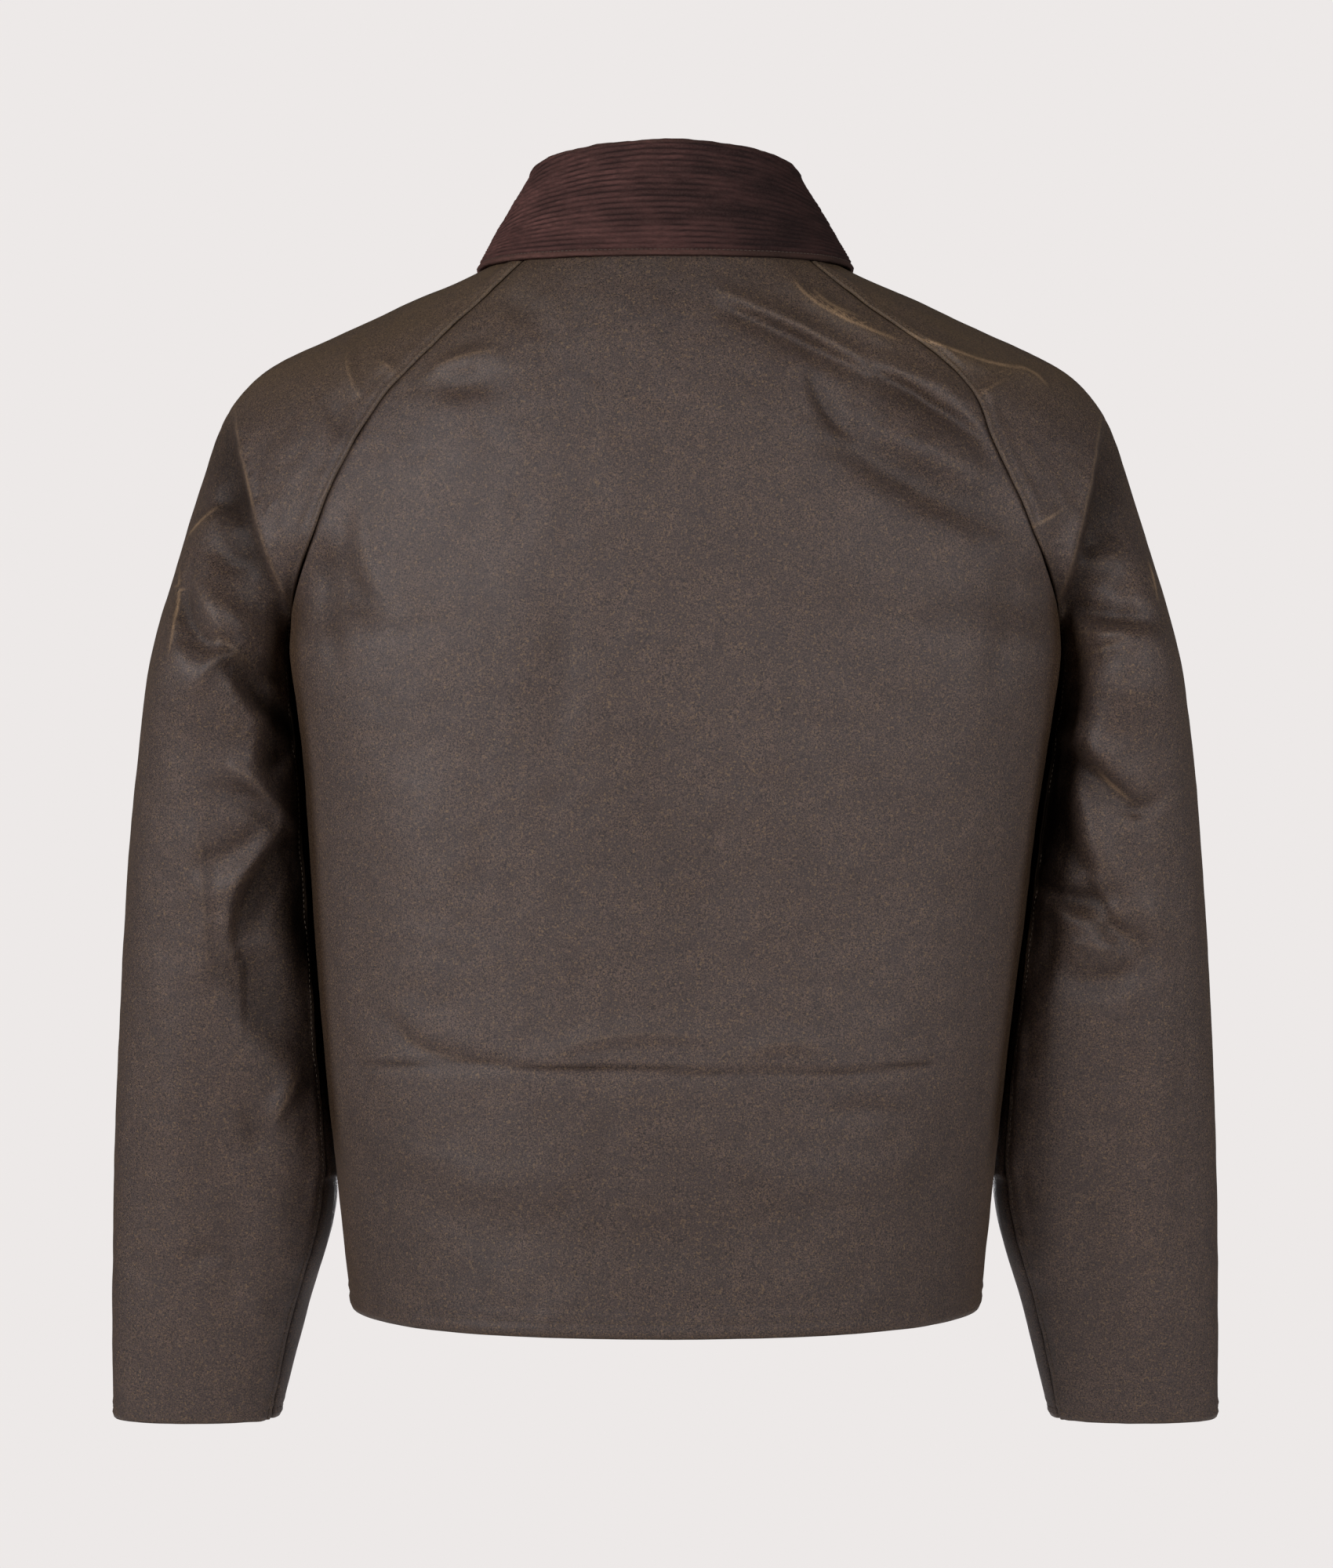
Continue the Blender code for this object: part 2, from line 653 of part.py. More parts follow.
for old in list(bpy.data.objects):
    bpy.data.objects.remove(old)
JACKET = collection("waxed_cotton_jacket")
CUTTERS = collection("cutters")

make_back()
make_collar()
for hand in (1, -1):
    make_front(hand)
    make_sleeve(hand)
    make_zip_tape(hand)
make_slider()
make_pull()
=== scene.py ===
import math

import bmesh
import bpy
import numpy as np
from mathutils import Matrix, Vector, noise


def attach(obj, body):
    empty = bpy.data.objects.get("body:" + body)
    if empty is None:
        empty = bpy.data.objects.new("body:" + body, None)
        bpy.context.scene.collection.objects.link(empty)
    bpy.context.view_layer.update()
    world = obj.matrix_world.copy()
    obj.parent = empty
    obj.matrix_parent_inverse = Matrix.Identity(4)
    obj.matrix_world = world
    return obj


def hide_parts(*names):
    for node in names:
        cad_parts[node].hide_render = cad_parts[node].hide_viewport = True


# Looks of a waxed cotton jacket with a corduroy collar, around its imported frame.
# Tables and sizes are in millimetres from the nape; "drop" is down from it, x is towards the
# wearer's left, and y is measured from the body's middle plane towards the back.
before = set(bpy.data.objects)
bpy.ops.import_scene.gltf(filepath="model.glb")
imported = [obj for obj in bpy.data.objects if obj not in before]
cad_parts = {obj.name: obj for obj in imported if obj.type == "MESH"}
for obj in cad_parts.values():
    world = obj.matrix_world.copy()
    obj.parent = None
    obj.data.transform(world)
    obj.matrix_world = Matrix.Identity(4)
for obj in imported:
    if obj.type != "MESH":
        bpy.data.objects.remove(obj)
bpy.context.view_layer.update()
BODY = "jacket"
MM = 0.001

COAT_WALL = 1.5
COLLAR_WALL = 3.0
SEAM_GAP = 0.3
NECK_BACK_Y = 80.0
HEM_DROP = 628.0
CUFF_DROP = 705.0
PIT_DROP = 246.0
PIT_EASE = 0.9
PIT_RISE = 16.0
SIDE_Y = -14.0
SHOULDER_LEVEL = 9
PIT_LEVEL = 12
HEM_LEVEL = 24
CUFF_LEVEL = 26
UNDER_SLEEVE_SAG = 12.0
SLEEVE_POWER = 2.2
SLEEVE_CLEARANCE = 1.6
ZIP_GAP = 10.0
ZIP_TOP_LEVEL = 0.45
TAPE_WIDTH = 15.0
TAPE_SETBACK = 0.7
SAMPLES = 260            # points along a section before it is spaced
SOFTEN_PASSES = 8
UPPER_ROWS = 8           # rows to a level above the armpit
LOWER_ROWS = 11          # rows to a level below it
UNDER_ROWS = 10          # rows to a level of the under sleeves
EDGE_STEPS = (0.0, 0.35, 0.8, 1.5, 2.5, 4.0, 6.0, 8.5)   # rows of points beside a seam


class Table:
    """A short table with named columns, read smoothly between its rows."""

    def __init__(self, columns, rows):
        self.columns = columns.split()
        self.values = np.array(rows, dtype=float)

    def at(self, name, key):
        """Monotone cubic through the named column at the given key (first column)."""
        keys = self.values[:, 0]
        column = self.values[:, self.columns.index(name)]
        step = np.diff(keys)
        slope = np.diff(column) / step
        tangent = np.zeros_like(column)
        tangent[0] = slope[0]
        tangent[-1] = slope[-1]
        for i in range(1, len(column) - 1):
            if slope[i - 1] * slope[i] > 0:
                near = 2 * step[i] + step[i - 1]
                far = step[i] + 2 * step[i - 1]
                tangent[i] = (near + far) / (near / slope[i - 1] + far / slope[i])
        key = np.clip(key, keys[0], keys[-1])
        i = np.clip(np.searchsorted(keys, key, side="right") - 1, 0, len(step) - 1)
        t = (key - keys[i]) / step[i]
        return ((1 + 2 * t) * (1 - t) ** 2 * column[i] + t * (1 - t) ** 2 * step[i] * tangent[i]
                + t * t * (3 - 2 * t) * column[i + 1] - t * t * (1 - t) * step[i] * tangent[i + 1])


# ---------------------------------------------------------------- the form
# Sections of the shoulders, the raglan seams on them, and the body and sleeves below.
UPPER = Table("level ridge_x ridge_y ridge_drop back_y back_drop front_y front_drop power", [
    (0, 82, 5, 6, 80, 0, -62, 88, 2.2),
    (1, 114, 4, 20.5, 92, 24, -73, 102, 2.1),
    (2, 143, 3, 31, 101, 48, -82, 116, 2.0),
    (3, 171, 2, 44, 108, 70, -90, 129, 2.0),
    (4, 196, 0, 56, 114, 92, -97, 142, 2.0),
    (5, 221, -2, 68.5, 118.5, 113, -103, 155, 2.0),
    (6, 240, -4, 80, 122, 134, -108, 167, 2.0),
    (7, 257, -6, 97, 124.5, 154, -112, 180, 2.0),
    (8, 268, -8, 116, 126, 172, -116, 192, 2.0),
    (9, 277, -10, 140, 127, 190, -119, 204, 2.0),
    (10, 286, -12, 170, 128, 209, -122, 217, 2.0),
    (11, 295, -13, 203, 128.5, 228, -124, 231, 2.0),
    (12, 303, -14, 236, 129, 246, -126, 246, 2.0),
])
RAGLAN = Table("level back_left back_right front", [
    (0, 49, 49, 125),
    (2, 48, 51.5, 132),
    (4, 47.5, 55, 138),
    (7, 45.5, 48.5, 136),
    (9, 46, 49, 134),
    (12, 47, 50.5, 130),
])
TORSO = Table("drop left right back_y front_y power", [
    (200, 226, 238, 128, -124, 3.1),
    (246, 221, 233, 129, -126, 3.2),
    (300, 214, 225, 129, -128, 3.1),
    (345, 211, 218.5, 128, -128, 3.0),
    (390, 208, 213, 127, -127, 2.9),
    (478, 202, 202.5, 128, -125, 2.7),
    (553, 194.5, 194.5, 130, -124, 2.45),
    (628, 187, 187, 132, -124, 2.3),
])
SLEEVE = Table("drop outer inner centre_y half_depth rear_seam fore_seam inner_power", [
    (200, 297, 221, -14, 82, 18, 30, 2.2),
    (246, 306, 221, -14, 82, 18, 30, 2.3),
    (300, 316, 216, -28, 78, 20, 40, 3.0),
    (400, 326, 209, -36, 68, 22, 44, 3.2),
    (500, 332, 201, -41, 55, 24, 45, 3.0),
    (560, 334.7, 198.8, -45, 46, 28, 45, 2.7),
    (640, 337, 218, -52, 38, 28, 40, 2.3),
    (705, 337.6, 235, -58, 31, 24, 32, 2.2),
])
COLLAR = Table("angle stand leaf_level leaf_angle", [
    (0, 49.5, 0.9, 0),
    (40, 47.8, 0.9, 40),
    (90, 46.5, 0.9, 90),
    (130, 40, 1.1, 126),
    (158, 29, 1.8, 144),
    (175, 24, 2.5, 150),
])
COLLAR_END = 175
ROLL_RADIUS = 5.5
LEAF_LIFT = 4.5


def smooth_step(t):
    """0 below 0 and 1 above 1, with a smooth rise between."""
    t = np.clip(t, 0, 1)
    return t * t * (3 - 2 * t)


def hump(away, width):
    """1 on a line, falling to nothing within about twice the width of it."""
    return np.exp(-(away / width) ** 2)


def blend_at(level):
    """0 where the section is all shoulder, 1 where body and sleeve are apart."""
    return float(smooth_step((level - SHOULDER_LEVEL) / (PIT_LEVEL - SHOULDER_LEVEL)))


def section(angles, half, side, back, front, power):
    """Points round a section; side, back and front are (y, z), angles run from the back."""
    sine = np.sin(np.radians(angles))
    sine = np.sign(sine) * np.abs(sine) ** (2 / power)
    cosine = np.cos(np.radians(angles))
    reach = np.abs(cosine) ** (2 / power)
    end_y = np.where(cosine > 0, back[0], front[0])
    end_z = np.where(cosine > 0, back[1], front[1])
    return np.stack([half * sine,
                     side[0] + (end_y - side[0]) * reach,
                     side[1] + (end_z - side[1]) * reach], axis=-1)


def upper_curve(level, start, end):
    row = {name: float(UPPER.at(name, level)) for name in UPPER.columns}
    return section(np.linspace(start, end, SAMPLES), row["ridge_x"],
                   (row["ridge_y"], -row["ridge_drop"]), (row["back_y"], -row["back_drop"]),
                   (row["front_y"], -row["front_drop"]), row["power"])


def body_drop(level):
    return PIT_DROP + (level - PIT_LEVEL) * (HEM_DROP - PIT_DROP) / (HEM_LEVEL - PIT_LEVEL)


def torso_half(drop, hand):
    return float(TORSO.at("left" if hand > 0 else "right", drop))


def torso_curve(level, hand, start, end):
    if level < PIT_LEVEL:
        side_drop = PIT_DROP - (PIT_LEVEL - level) * PIT_RISE
        back_drop = float(UPPER.at("back_drop", level))
        front_drop = float(UPPER.at("front_drop", level))
    else:
        side_drop = back_drop = front_drop = body_drop(level)
    return section(np.linspace(start, end, SAMPLES), torso_half(side_drop, hand),
                   (SIDE_Y, -side_drop), (float(TORSO.at("back_y", back_drop)), -back_drop),
                   (float(TORSO.at("front_y", front_drop)), -front_drop),
                   float(TORSO.at("power", side_drop)))


def raglan_angle(level, hand, face):
    if face == "front":
        return float(RAGLAN.at("front", level))
    return float(RAGLAN.at("back_left" if hand > 0 else "back_right", level))


def centre_angle(level, face, inset):
    """Angle of a panel's middle edge, the given distance from the centre plane."""
    if face == "back":
        return 0.0
    if level < PIT_LEVEL:
        half = float(UPPER.at("ridge_x", level))
        power = float(UPPER.at("power", level))
    else:
        half = torso_half(body_drop(level), 1)
        power = float(TORSO.at("power", body_drop(level)))
    return 180.0 - math.degrees(math.asin((inset / half) ** (power / 2)))


def cut_back(curve, inset):
    """The curve without its first stretch, to the given distance from the centre plane."""
    if inset <= 0:
        return curve
    first = int(np.argmax(curve[:, 0] > inset))
    before, after = curve[first - 1], curve[first]
    start = before + (after - before) * (inset - before[0]) / (after[0] - before[0])
    return np.vstack([start, curve[first:]])


def body_curve(level, hand, face, inset=0.0):
    """Half a body section, from the middle to the raglan seam or side seam."""
    middle = 0 if face == "back" else 180
    blend = blend_at(level)
    if blend >= 1:
        return cut_back(torso_curve(level, hand, middle, 90), inset)
    curve = upper_curve(level, middle, raglan_angle(level, hand, face))
    if blend > 0:
        curve = curve * (1 - blend) + torso_curve(level, hand, middle, 90) * blend
    return cut_back(curve, inset)


def sleeve_drop(level):
    return PIT_DROP + (level - PIT_LEVEL) * (CUFF_DROP - PIT_DROP) / (CUFF_LEVEL - PIT_LEVEL)


def ring_points(drops, angles, hand):
    """Points of the sleeve tube; angles run from its inner side round by the back."""
    own = SLEEVE.at("inner", drops)
    body = TORSO.at("left" if hand > 0 else "right", drops)
    beside = body + SLEEVE_CLEARANCE * np.clip((drops - PIT_DROP) / 20, 0, 1)
    inner = np.where(drops < 555, beside, np.maximum(own, beside))
    outer = SLEEVE.at("outer", drops)
    middle = (outer + inner) / 2
    sine = np.sin(np.radians(angles))
    cosine = np.cos(np.radians(angles))
    behind = (cosine > 0) & (sine > 0)
    power = 2 / np.where(behind, SLEEVE.at("inner_power", drops), SLEEVE_POWER)
    x = middle - (outer - middle) * np.sign(cosine) * np.abs(cosine) ** power
    y = SLEEVE.at("centre_y", drops) + SLEEVE.at("half_depth", drops) * np.sign(sine) * np.abs(sine) ** power
    return np.stack([x, y, -drops], axis=-1)


def sleeve_curve(level, hand):
    """Across a top sleeve, from its rear edge over the outside to its front edge."""
    if PIT_LEVEL - 1 < level < PIT_LEVEL:
        t = level - (PIT_LEVEL - 1)
        return sleeve_curve(PIT_LEVEL - 1, hand) * (1 - t) + sleeve_curve(PIT_LEVEL, hand) * t
    if level >= PIT_LEVEL:
        drop = sleeve_drop(level)
        angles = np.linspace(SLEEVE.at("rear_seam", drop), 360 - SLEEVE.at("fore_seam", drop), SAMPLES)
        return ring_points(np.full(SAMPLES, drop), angles, hand)
    shoulder = upper_curve(level, raglan_angle(level, hand, "back"), raglan_angle(level, hand, "front"))
    blend = blend_at(level)
    if blend <= 0:
        return shoulder
    drop = PIT_DROP - (PIT_LEVEL - level) * PIT_RISE
    ring = ring_points(np.full(SAMPLES, drop), np.linspace(0, 360, SAMPLES), hand)
    return shoulder * (1 - blend) + ring * blend


def armhole_curve(hand):
    """The armhole's bottom, from the rear sleeve seam down and up to the fore seam."""
    levels = np.linspace(PIT_LEVEL - 1, PIT_LEVEL, SAMPLES // 2)
    rear = [body_curve(level, hand, "back")[-1] for level in levels]
    fore = [body_curve(level, hand, "front")[-1] for level in levels[::-1]]
    curve = np.array(rear + fore)
    curve[:, 0] += PIT_EASE
    curve[:, 2] -= PIT_EASE
    return curve


ARMHOLES = {hand: armhole_curve(hand) for hand in (1, -1)}


def under_curve(level, hand):
    """Across an under sleeve, from the rear seam by the inner side to the fore seam."""
    if level < PIT_LEVEL:
        t = level - (PIT_LEVEL - 1)
        return ARMHOLES[hand] * (1 - t) + under_curve(PIT_LEVEL, hand) * t
    across = np.linspace(-1, 1, SAMPLES)
    sag = UNDER_SLEEVE_SAG * max(0, 1 - (level - PIT_LEVEL)) * (1 - across ** 2)
    drop = sleeve_drop(level)
    rear = float(SLEEVE.at("rear_seam", drop))
    fore = float(SLEEVE.at("fore_seam", drop))
    angles = np.where(across < 0, -across * rear, -across * fore)
    return ring_points(drop + sag, angles, hand)


# ---------------------------------------------------------------- sheets of points
def levels_between(start, end):
    """Levels about 3 mm apart from start to end."""
    upper = np.linspace(start, PIT_LEVEL, round((PIT_LEVEL - start) * UPPER_ROWS) + 1)
    lower = np.linspace(PIT_LEVEL, end, round((end - PIT_LEVEL) * LOWER_ROWS) + 1)
    return np.concatenate([upper, lower[1:]])


def run_lengths(line):
    """The length along a line of points, at each of them."""
    return np.concatenate([[0], np.cumsum(np.linalg.norm(np.diff(line, axis=0), axis=1))])


def points_along(places, lengths, line):
    """The points (or directions) of a line at the given lengths along it."""
    return np.stack([np.interp(places, lengths, line[:, axis]) for axis in range(3)], axis=-1)


def spaced_points(curve, columns, close_start):
    """The curve re-spaced evenly, with closer points beside its seams."""
    lengths = run_lengths(curve)
    total = lengths[-1]
    squeeze = min(1, total / (4 * EDGE_STEPS[-1]))
    edge = np.array(EDGE_STEPS) * squeeze
    first = edge if close_start else edge[:1]
    last = total - edge[::-1]
    inner = np.linspace(first[-1], last[0], columns + 3 - len(first) - len(last))[1:-1]
    places = np.concatenate([first, inner, last])
    return points_along(places, lengths, curve)


def sheet_points(levels, curve, columns, close_start=True):
    return np.array([spaced_points(curve(level), columns, close_start) for level in levels])


def soften_rows(values):
    """Ease kinks down the rows; the first and last rows stay."""
    for _ in range(SOFTEN_PASSES):
        values[1:-1] = values[1:-1] / 2 + (values[:-2] + values[2:]) / 4
    return values


def mirror_side(points, hand, turned=False):
    """Points on their own side of the body, with the columns turned where the face needs it."""
    points = points * np.array([hand, 1, 1])
    return points[:, ::-1] if turned else points


def trim_seams(points, trim=SEAM_GAP / 2):
    for edge, inner in ((0, 1), (-1, -2)):
        run = points[:, inner] - points[:, edge]
        points[:, edge] += run / np.linalg.norm(run, axis=-1, keepdims=True) * trim
    return points


def sheet_normals(points):
    down = np.gradient(points, axis=0)
    across = np.gradient(points, axis=1)
    normal = np.cross(down, across)
    return normal / np.maximum(np.linalg.norm(normal, axis=-1, keepdims=True), 1e-9)


def to_frame(points):
    return (points - np.array([0, NECK_BACK_Y - COAT_WALL, 0])) * MM


def edge_distance(points, side):
    """Distance along each row from its first (0) or last (-1) point."""
    steps = np.linalg.norm(np.diff(points, axis=1), axis=-1)
    zero = np.zeros((len(points), 1))
    if side == 0:
        return np.concatenate([zero, np.cumsum(steps, axis=1)], axis=1)
    return np.concatenate([np.cumsum(steps[:, ::-1], axis=1)[:, ::-1], zero], axis=1)


def row_distance(points, side):
    """Distance down each column from its first (0) or last (-1) point."""
    return edge_distance(points.transpose(1, 0, 2), side).T


# ---------------------------------------------------------------- creases
# Each crease is a soft bend through three points, seen from the face it is on: "right" is
# the distance to the right of the centre line, with "drop" below the nape. "over" and
# "under" are its widths above and below (right and left of one that runs straight down).
# A positive height is a ridge; the last column is how much lighter its top wears.
CREASE_COLUMNS = "right0 drop0 right1 drop1 right2 drop2 over under height rub"


def creases(rows):
    return Table(CREASE_COLUMNS, rows)


BACK_CREASES = creases([
    (32, 42, 72, 60, 112, 79, 6, 3.5, 2.7, 0.15),
    (36, 52, 74, 69, 108, 85, 3, 8, -2.7, 0),
    (73, 33, 92, 50, 132, 66, 4, 6, 1.3, 1.0),
    (84, 38, 95, 47, 110, 53, 3, 4, 0.9, 0.8),
    (82, 88, 90, 110, 106, 124, 8, 4, -2.8, 0),
    (126, 82, 150, 90, 177, 107, 7, 5, 1.4, 0),
    (120, 88, 148, 102, 182, 125, 3.5, 10, -4.2, 0),
    (108, 116, 146, 132, 184, 148, 10, 11, 1.6, 0),
    (96, 126, 138, 150, 200, 178, 18, 11, -4.0, 0),
    (-131, 84, -116, 78, -98, 75, 5, 8, 1.8, 0.3),
    (-128, 96, -112, 94, -94, 96, 8, 8, -1.6, 0),
    (-91, 46, -82, 50, -72, 60, 8, 8, -1.2, 0),
    (-194, 186, -191, 214, -186, 252, 7, 6, -2.4, 0),
    (-181, 170, -177, 206, -163, 222, 6, 7, -1.9, 0),
    (-170, 168, -168, 200, -150, 218, 7, 7, 1.1, 0.1),
    (196, 200, 192, 228, 186, 262, 8, 8, -1.2, 0),
    (-152, 455, -132, 470, -92, 475, 4, 6, -1.2, 0.15),
    (-60, 467, -20, 459, 20, 461, 6, 5, 1.2, 0.1),
    (50, 469, 66, 464, 84, 467, 6, 5, 1.2, 0.1),
    (92, 504, 115, 502, 140, 507, 5, 6, -0.8, 0),
    (-60, 212, -58, 252, -66, 300, 12, 14, -0.9, 0),
    (-20, 300, 10, 372, 6, 440, 26, 26, -1.1, 0),
    (60, 250, 66, 330, 84, 400, 30, 26, 1.1, 0),
    (-150, 300, -136, 380, -140, 440, 24, 26, 1.1, 0),
    (-100, 560, -20, 572, 70, 560, 18, 20, -0.9, 0),
    (-150, 530, -90, 541, -40, 536, 16, 14, 0.8, 0),
    (40, 530, 90, 540, 150, 528, 14, 16, 0.8, 0),
])
LEFT_SLEEVE = creases([
    (-184, 70, -182, 84, -175, 98, 5, 6, 1.8, 0.35),
    (-167, 78, -160, 80, -152, 88, 5, 5, 1.5, 0.3),
    (-196, 96, -186, 112, -178, 128, 8, 8, -1.6, 0),
    (-283, 174, -273, 166, -262, 158, 4, 9, 1.6, 0.9),
    (-264, 160, -254, 156, -243, 154, 7, 9, -2.6, 0),
    (-258, 170, -250, 172, -240, 176, 8, 7, 1.6, 0),
    (-261, 177, -252, 190, -233, 193, 7, 8, -2.8, 0),
    (-286, 192, -284, 218, -287, 244, 5, 8, 1.4, 0.9),
    (-282, 203, -273, 228, -257, 246, 5, 12, -4.4, 0),
    (-277, 194, -263, 219, -250, 238, 10, 4, 2.2, 0.1),
    (-262, 212, -248, 222, -230, 232, 9, 9, 2.6, 0.1),
    (-261, 237, -251, 240, -240, 250, 4, 5, -1.8, 0.3),
    (-268, 262, -254, 246, -244, 253, 6, 6, 2.4, 0.15),
    (-252, 246, -236, 272, -213, 293, 11, 4.5, -6.0, 0),
    (-238, 246, -228, 256, -216, 258, 8, 8, -3.2, 0),
    (-228, 264, -216, 269, -219, 279, 4, 5, 3.4, 0.25),
    (-234, 310, -224, 300, -214, 288, 6, 7, -3.2, 0),
    (-253, 310, -240, 317, -222, 338, 8, 6, 2.6, 0.1),
    (-254, 322, -238, 330, -219, 349, 5, 10, -2.8, 0),
    (-268, 366, -248, 358, -235, 344, 7, 8, -2.2, 0),
    (-262, 384, -246, 376, -228, 361, 9, 8, 1.8, 0.1),
    (-214, 268, -232, 296, -222, 330, 14, 4, -3.6, 0),
    (-214, 346, -242, 378, -250, 414, 40, 4, -5.4, 0),
    (-252, 418, -240, 452, -206, 486, 26, 12, -4.4, 0),
    (-238, 382, -252, 402, -254, 432, 7, 8, 1.8, 0.1),
    (-272, 345, -269, 390, -268, 432, 4, 8, 1.1, 0.1),
    (-217, 491, -224, 508, -233, 521, 6, 8, 1.9, 0.2),
    (-246, 510, -243, 525, -240, 542, 9, 8, -2.2, 0),
    (-284, 604, -273, 599, -262, 603, 6, 6, -1.2, 0),
    (-258, 628, -244, 636, -238, 650, 9, 9, 1.0, 0),
    (-296, 440, -292, 520, -294, 600, 14, 16, 1.2, 0),
    (-262, 556, -258, 600, -268, 650, 12, 12, -1.0, 0),
])
RIGHT_SLEEVE = creases([
    (131, 56, 160, 69, 206, 79, 5, 8, 2.0, 1.0),
    (200, 78, 212, 80, 222, 88, 4, 6, 1.2, 0.7),
    (178, 99, 186, 93, 196, 87, 4, 6, 1.3, 0.3),
    (209, 173, 218, 169, 227, 163, 4, 5, 1.0, 0.5),
    (238, 177, 243, 181, 240, 187, 5, 5, -1.4, 0),
    (240, 196, 252, 192, 268, 182, 8, 8, 1.8, 0.1),
    (236, 206, 250, 206, 266, 196, 8, 8, -1.4, 0),
    (233, 213, 255, 223, 285, 227, 8, 5, -4.4, 0),
    (235, 230, 250, 233, 266, 234, 6, 6, 1.8, 0.1),
    (233, 248, 250, 243, 266, 235, 4, 6, -1.8, 0.2),
    (238, 254, 236, 268, 240, 286, 8, 18, -4.2, 0),
    (262, 262, 270, 268, 282, 268, 8, 8, 0.9, 0.1),
    (284, 190, 286, 200, 287, 212, 3, 5, 1.0, 0.9),
    (225, 280, 246, 299, 271, 322, 11, 4, 2.3, 0),
    (223, 288, 243, 308, 271, 331, 4, 11, -4.4, 0),
    (252, 313, 261, 322, 271, 330, 3, 4, 0.8, 0.5),
    (268, 331, 276, 334, 287, 328, 6, 5, -2.4, 0),
    (236, 300, 234, 340, 246, 372, 5, 40, -5.6, 0),
    (252, 344, 252, 360, 264, 378, 9, 9, 1.8, 0.1),
    (213, 368, 234, 385, 257, 385, 6, 8, -3.8, 0),
    (222, 387, 240, 399, 258, 398, 6, 7, 2.5, 0.1),
    (247, 395, 266, 406, 279, 416, 6, 8, -2.6, 0.2),
    (279, 416, 262, 434, 226, 428, 9, 8, -2.5, 0),
    (236, 412, 250, 414, 262, 420, 9, 9, 2.3, 0.1),
    (268, 392, 284, 398, 290, 411, 9, 9, 1.4, 0.1),
    (222, 390, 226, 414, 212, 446, 6, 20, -2.4, 0),
    (296, 450, 292, 530, 294, 610, 16, 14, 1.2, 0),
    (258, 560, 262, 610, 272, 664, 14, 14, -1.0, 0),
])
FRONT_CREASES = creases([
    (36, 128, 62, 146, 84, 176, 8, 9, -1.6, 0),
    (88, 150, 120, 168, 168, 182, 8, 10, 1.6, 0.2),
    (104, 176, 140, 196, 196, 206, 12, 10, -2.6, 0),
    (178, 216, 172, 246, 158, 282, 8, 9, -2.0, 0),
    (60, 300, 66, 370, 54, 452, 24, 26, 1.0, 0),
    (150, 330, 142, 400, 148, 470, 26, 24, -1.0, 0),
    (60, 560, 110, 570, 160, 556, 16, 16, -0.9, 0),
    (40, 520, 90, 532, 140, 528, 14, 14, 0.8, 0),
])
# The folds where the sleeves hang from the shoulders: inner side steep, outer side soft.
LEFT_SHOULDER_FOLD = creases([
    (-256, 104, -245, 151, -221, 222, 3.0, 24, -5.5, 0),
    (-253, 100, -241, 149, -217, 219, 3.0, 4.5, 1.6, 0.45),
])
RIGHT_SHOULDER_FOLD = creases([
    (260, 107, 247, 160, 232, 218, 24, 3.0, -5.5, 0),
    (257, 103, 243, 158, 228, 216, 4.5, 3.0, 1.6, 0.35),
])
# Where the sleeves' inner folds lie in the dark beside the body.
DEEP_FOLDS = Table("right drop wide tall amount", [
    (-214, 404, 11, 30, 0.85),
    (-209, 476, 8, 34, 0.55),
    (222, 342, 13, 26, 0.5),
])
SLEEVE_CREASES = {1: LEFT_SLEEVE, -1: RIGHT_SLEEVE}
SHOULDER_FOLDS = {1: LEFT_SHOULDER_FOLD, -1: RIGHT_SHOULDER_FOLD}
CREASE_SPANS = 18
CREASE_STRENGTH = 2.2
LINE_REACH = 8.0         # furthest that a worn line's gap is kept, mm


def bend(row):
    """Points along a crease, and how strong it is at each."""
    t = np.linspace(0, 1, CREASE_SPANS + 1)[:, None]
    start, middle, end = np.array(row[:6]).reshape(3, 2)
    handle = middle * 2 - (start + end) / 2
    line = start * (1 - t) ** 2 + handle * 2 * t * (1 - t) + end * t ** 2
    return line, np.sin(np.pi * np.clip(t[:, 0] * 0.86 + 0.07, 0, 1)) ** 0.7


class Surface:
    """What lies on a sheet, point by point: heights in mm and masks from 0 to 1.

    "height" is along the sheet's own outward direction and "depth" is along y.
    """

    def __init__(self, points):
        size = points.shape[:2]
        self.height = np.zeros(size)
        self.depth = np.zeros(size)
        self.crush = np.zeros(size)
        # golden wear on creases, hems and seams, together with painted golden light on the shoulders and
        # turned-away edges
        self.rub = np.zeros(size)
        self.shade = np.zeros(size)
        self.dull = np.zeros(size)
        self.line_gap = np.full(size, LINE_REACH)
        self.line_rub = np.zeros(size)

    def masks(self):
        gap = 0.5 + self.line_gap / (2 * LINE_REACH)
        return {"rub": self.rub, "shade": self.shade, "dull": self.dull, "crush": self.crush,
                "line_gap": gap, "line_rub": self.line_rub}


def nearest_on(line, strength, places):
    """How far places are from a crease, on which side of it, and how strong it is there."""
    best = np.full(len(places), np.inf)
    side = np.zeros(len(places))
    power = np.zeros(len(places))
    for i in range(CREASE_SPANS):
        run = line[i + 1] - line[i]
        offset = places - line[i]
        t = np.clip(offset @ run / (run @ run), 0, 1)
        gap = offset - t[:, None] * run
        distance = np.linalg.norm(gap, axis=1)
        closer = distance < best
        best = np.where(closer, distance, best)
        side = np.where(closer, gap[:, 0] * run[1] - gap[:, 1] * run[0], side)
        power = np.where(closer, strength[i] + (strength[i + 1] - strength[i]) * t, power)
    return best, side, power


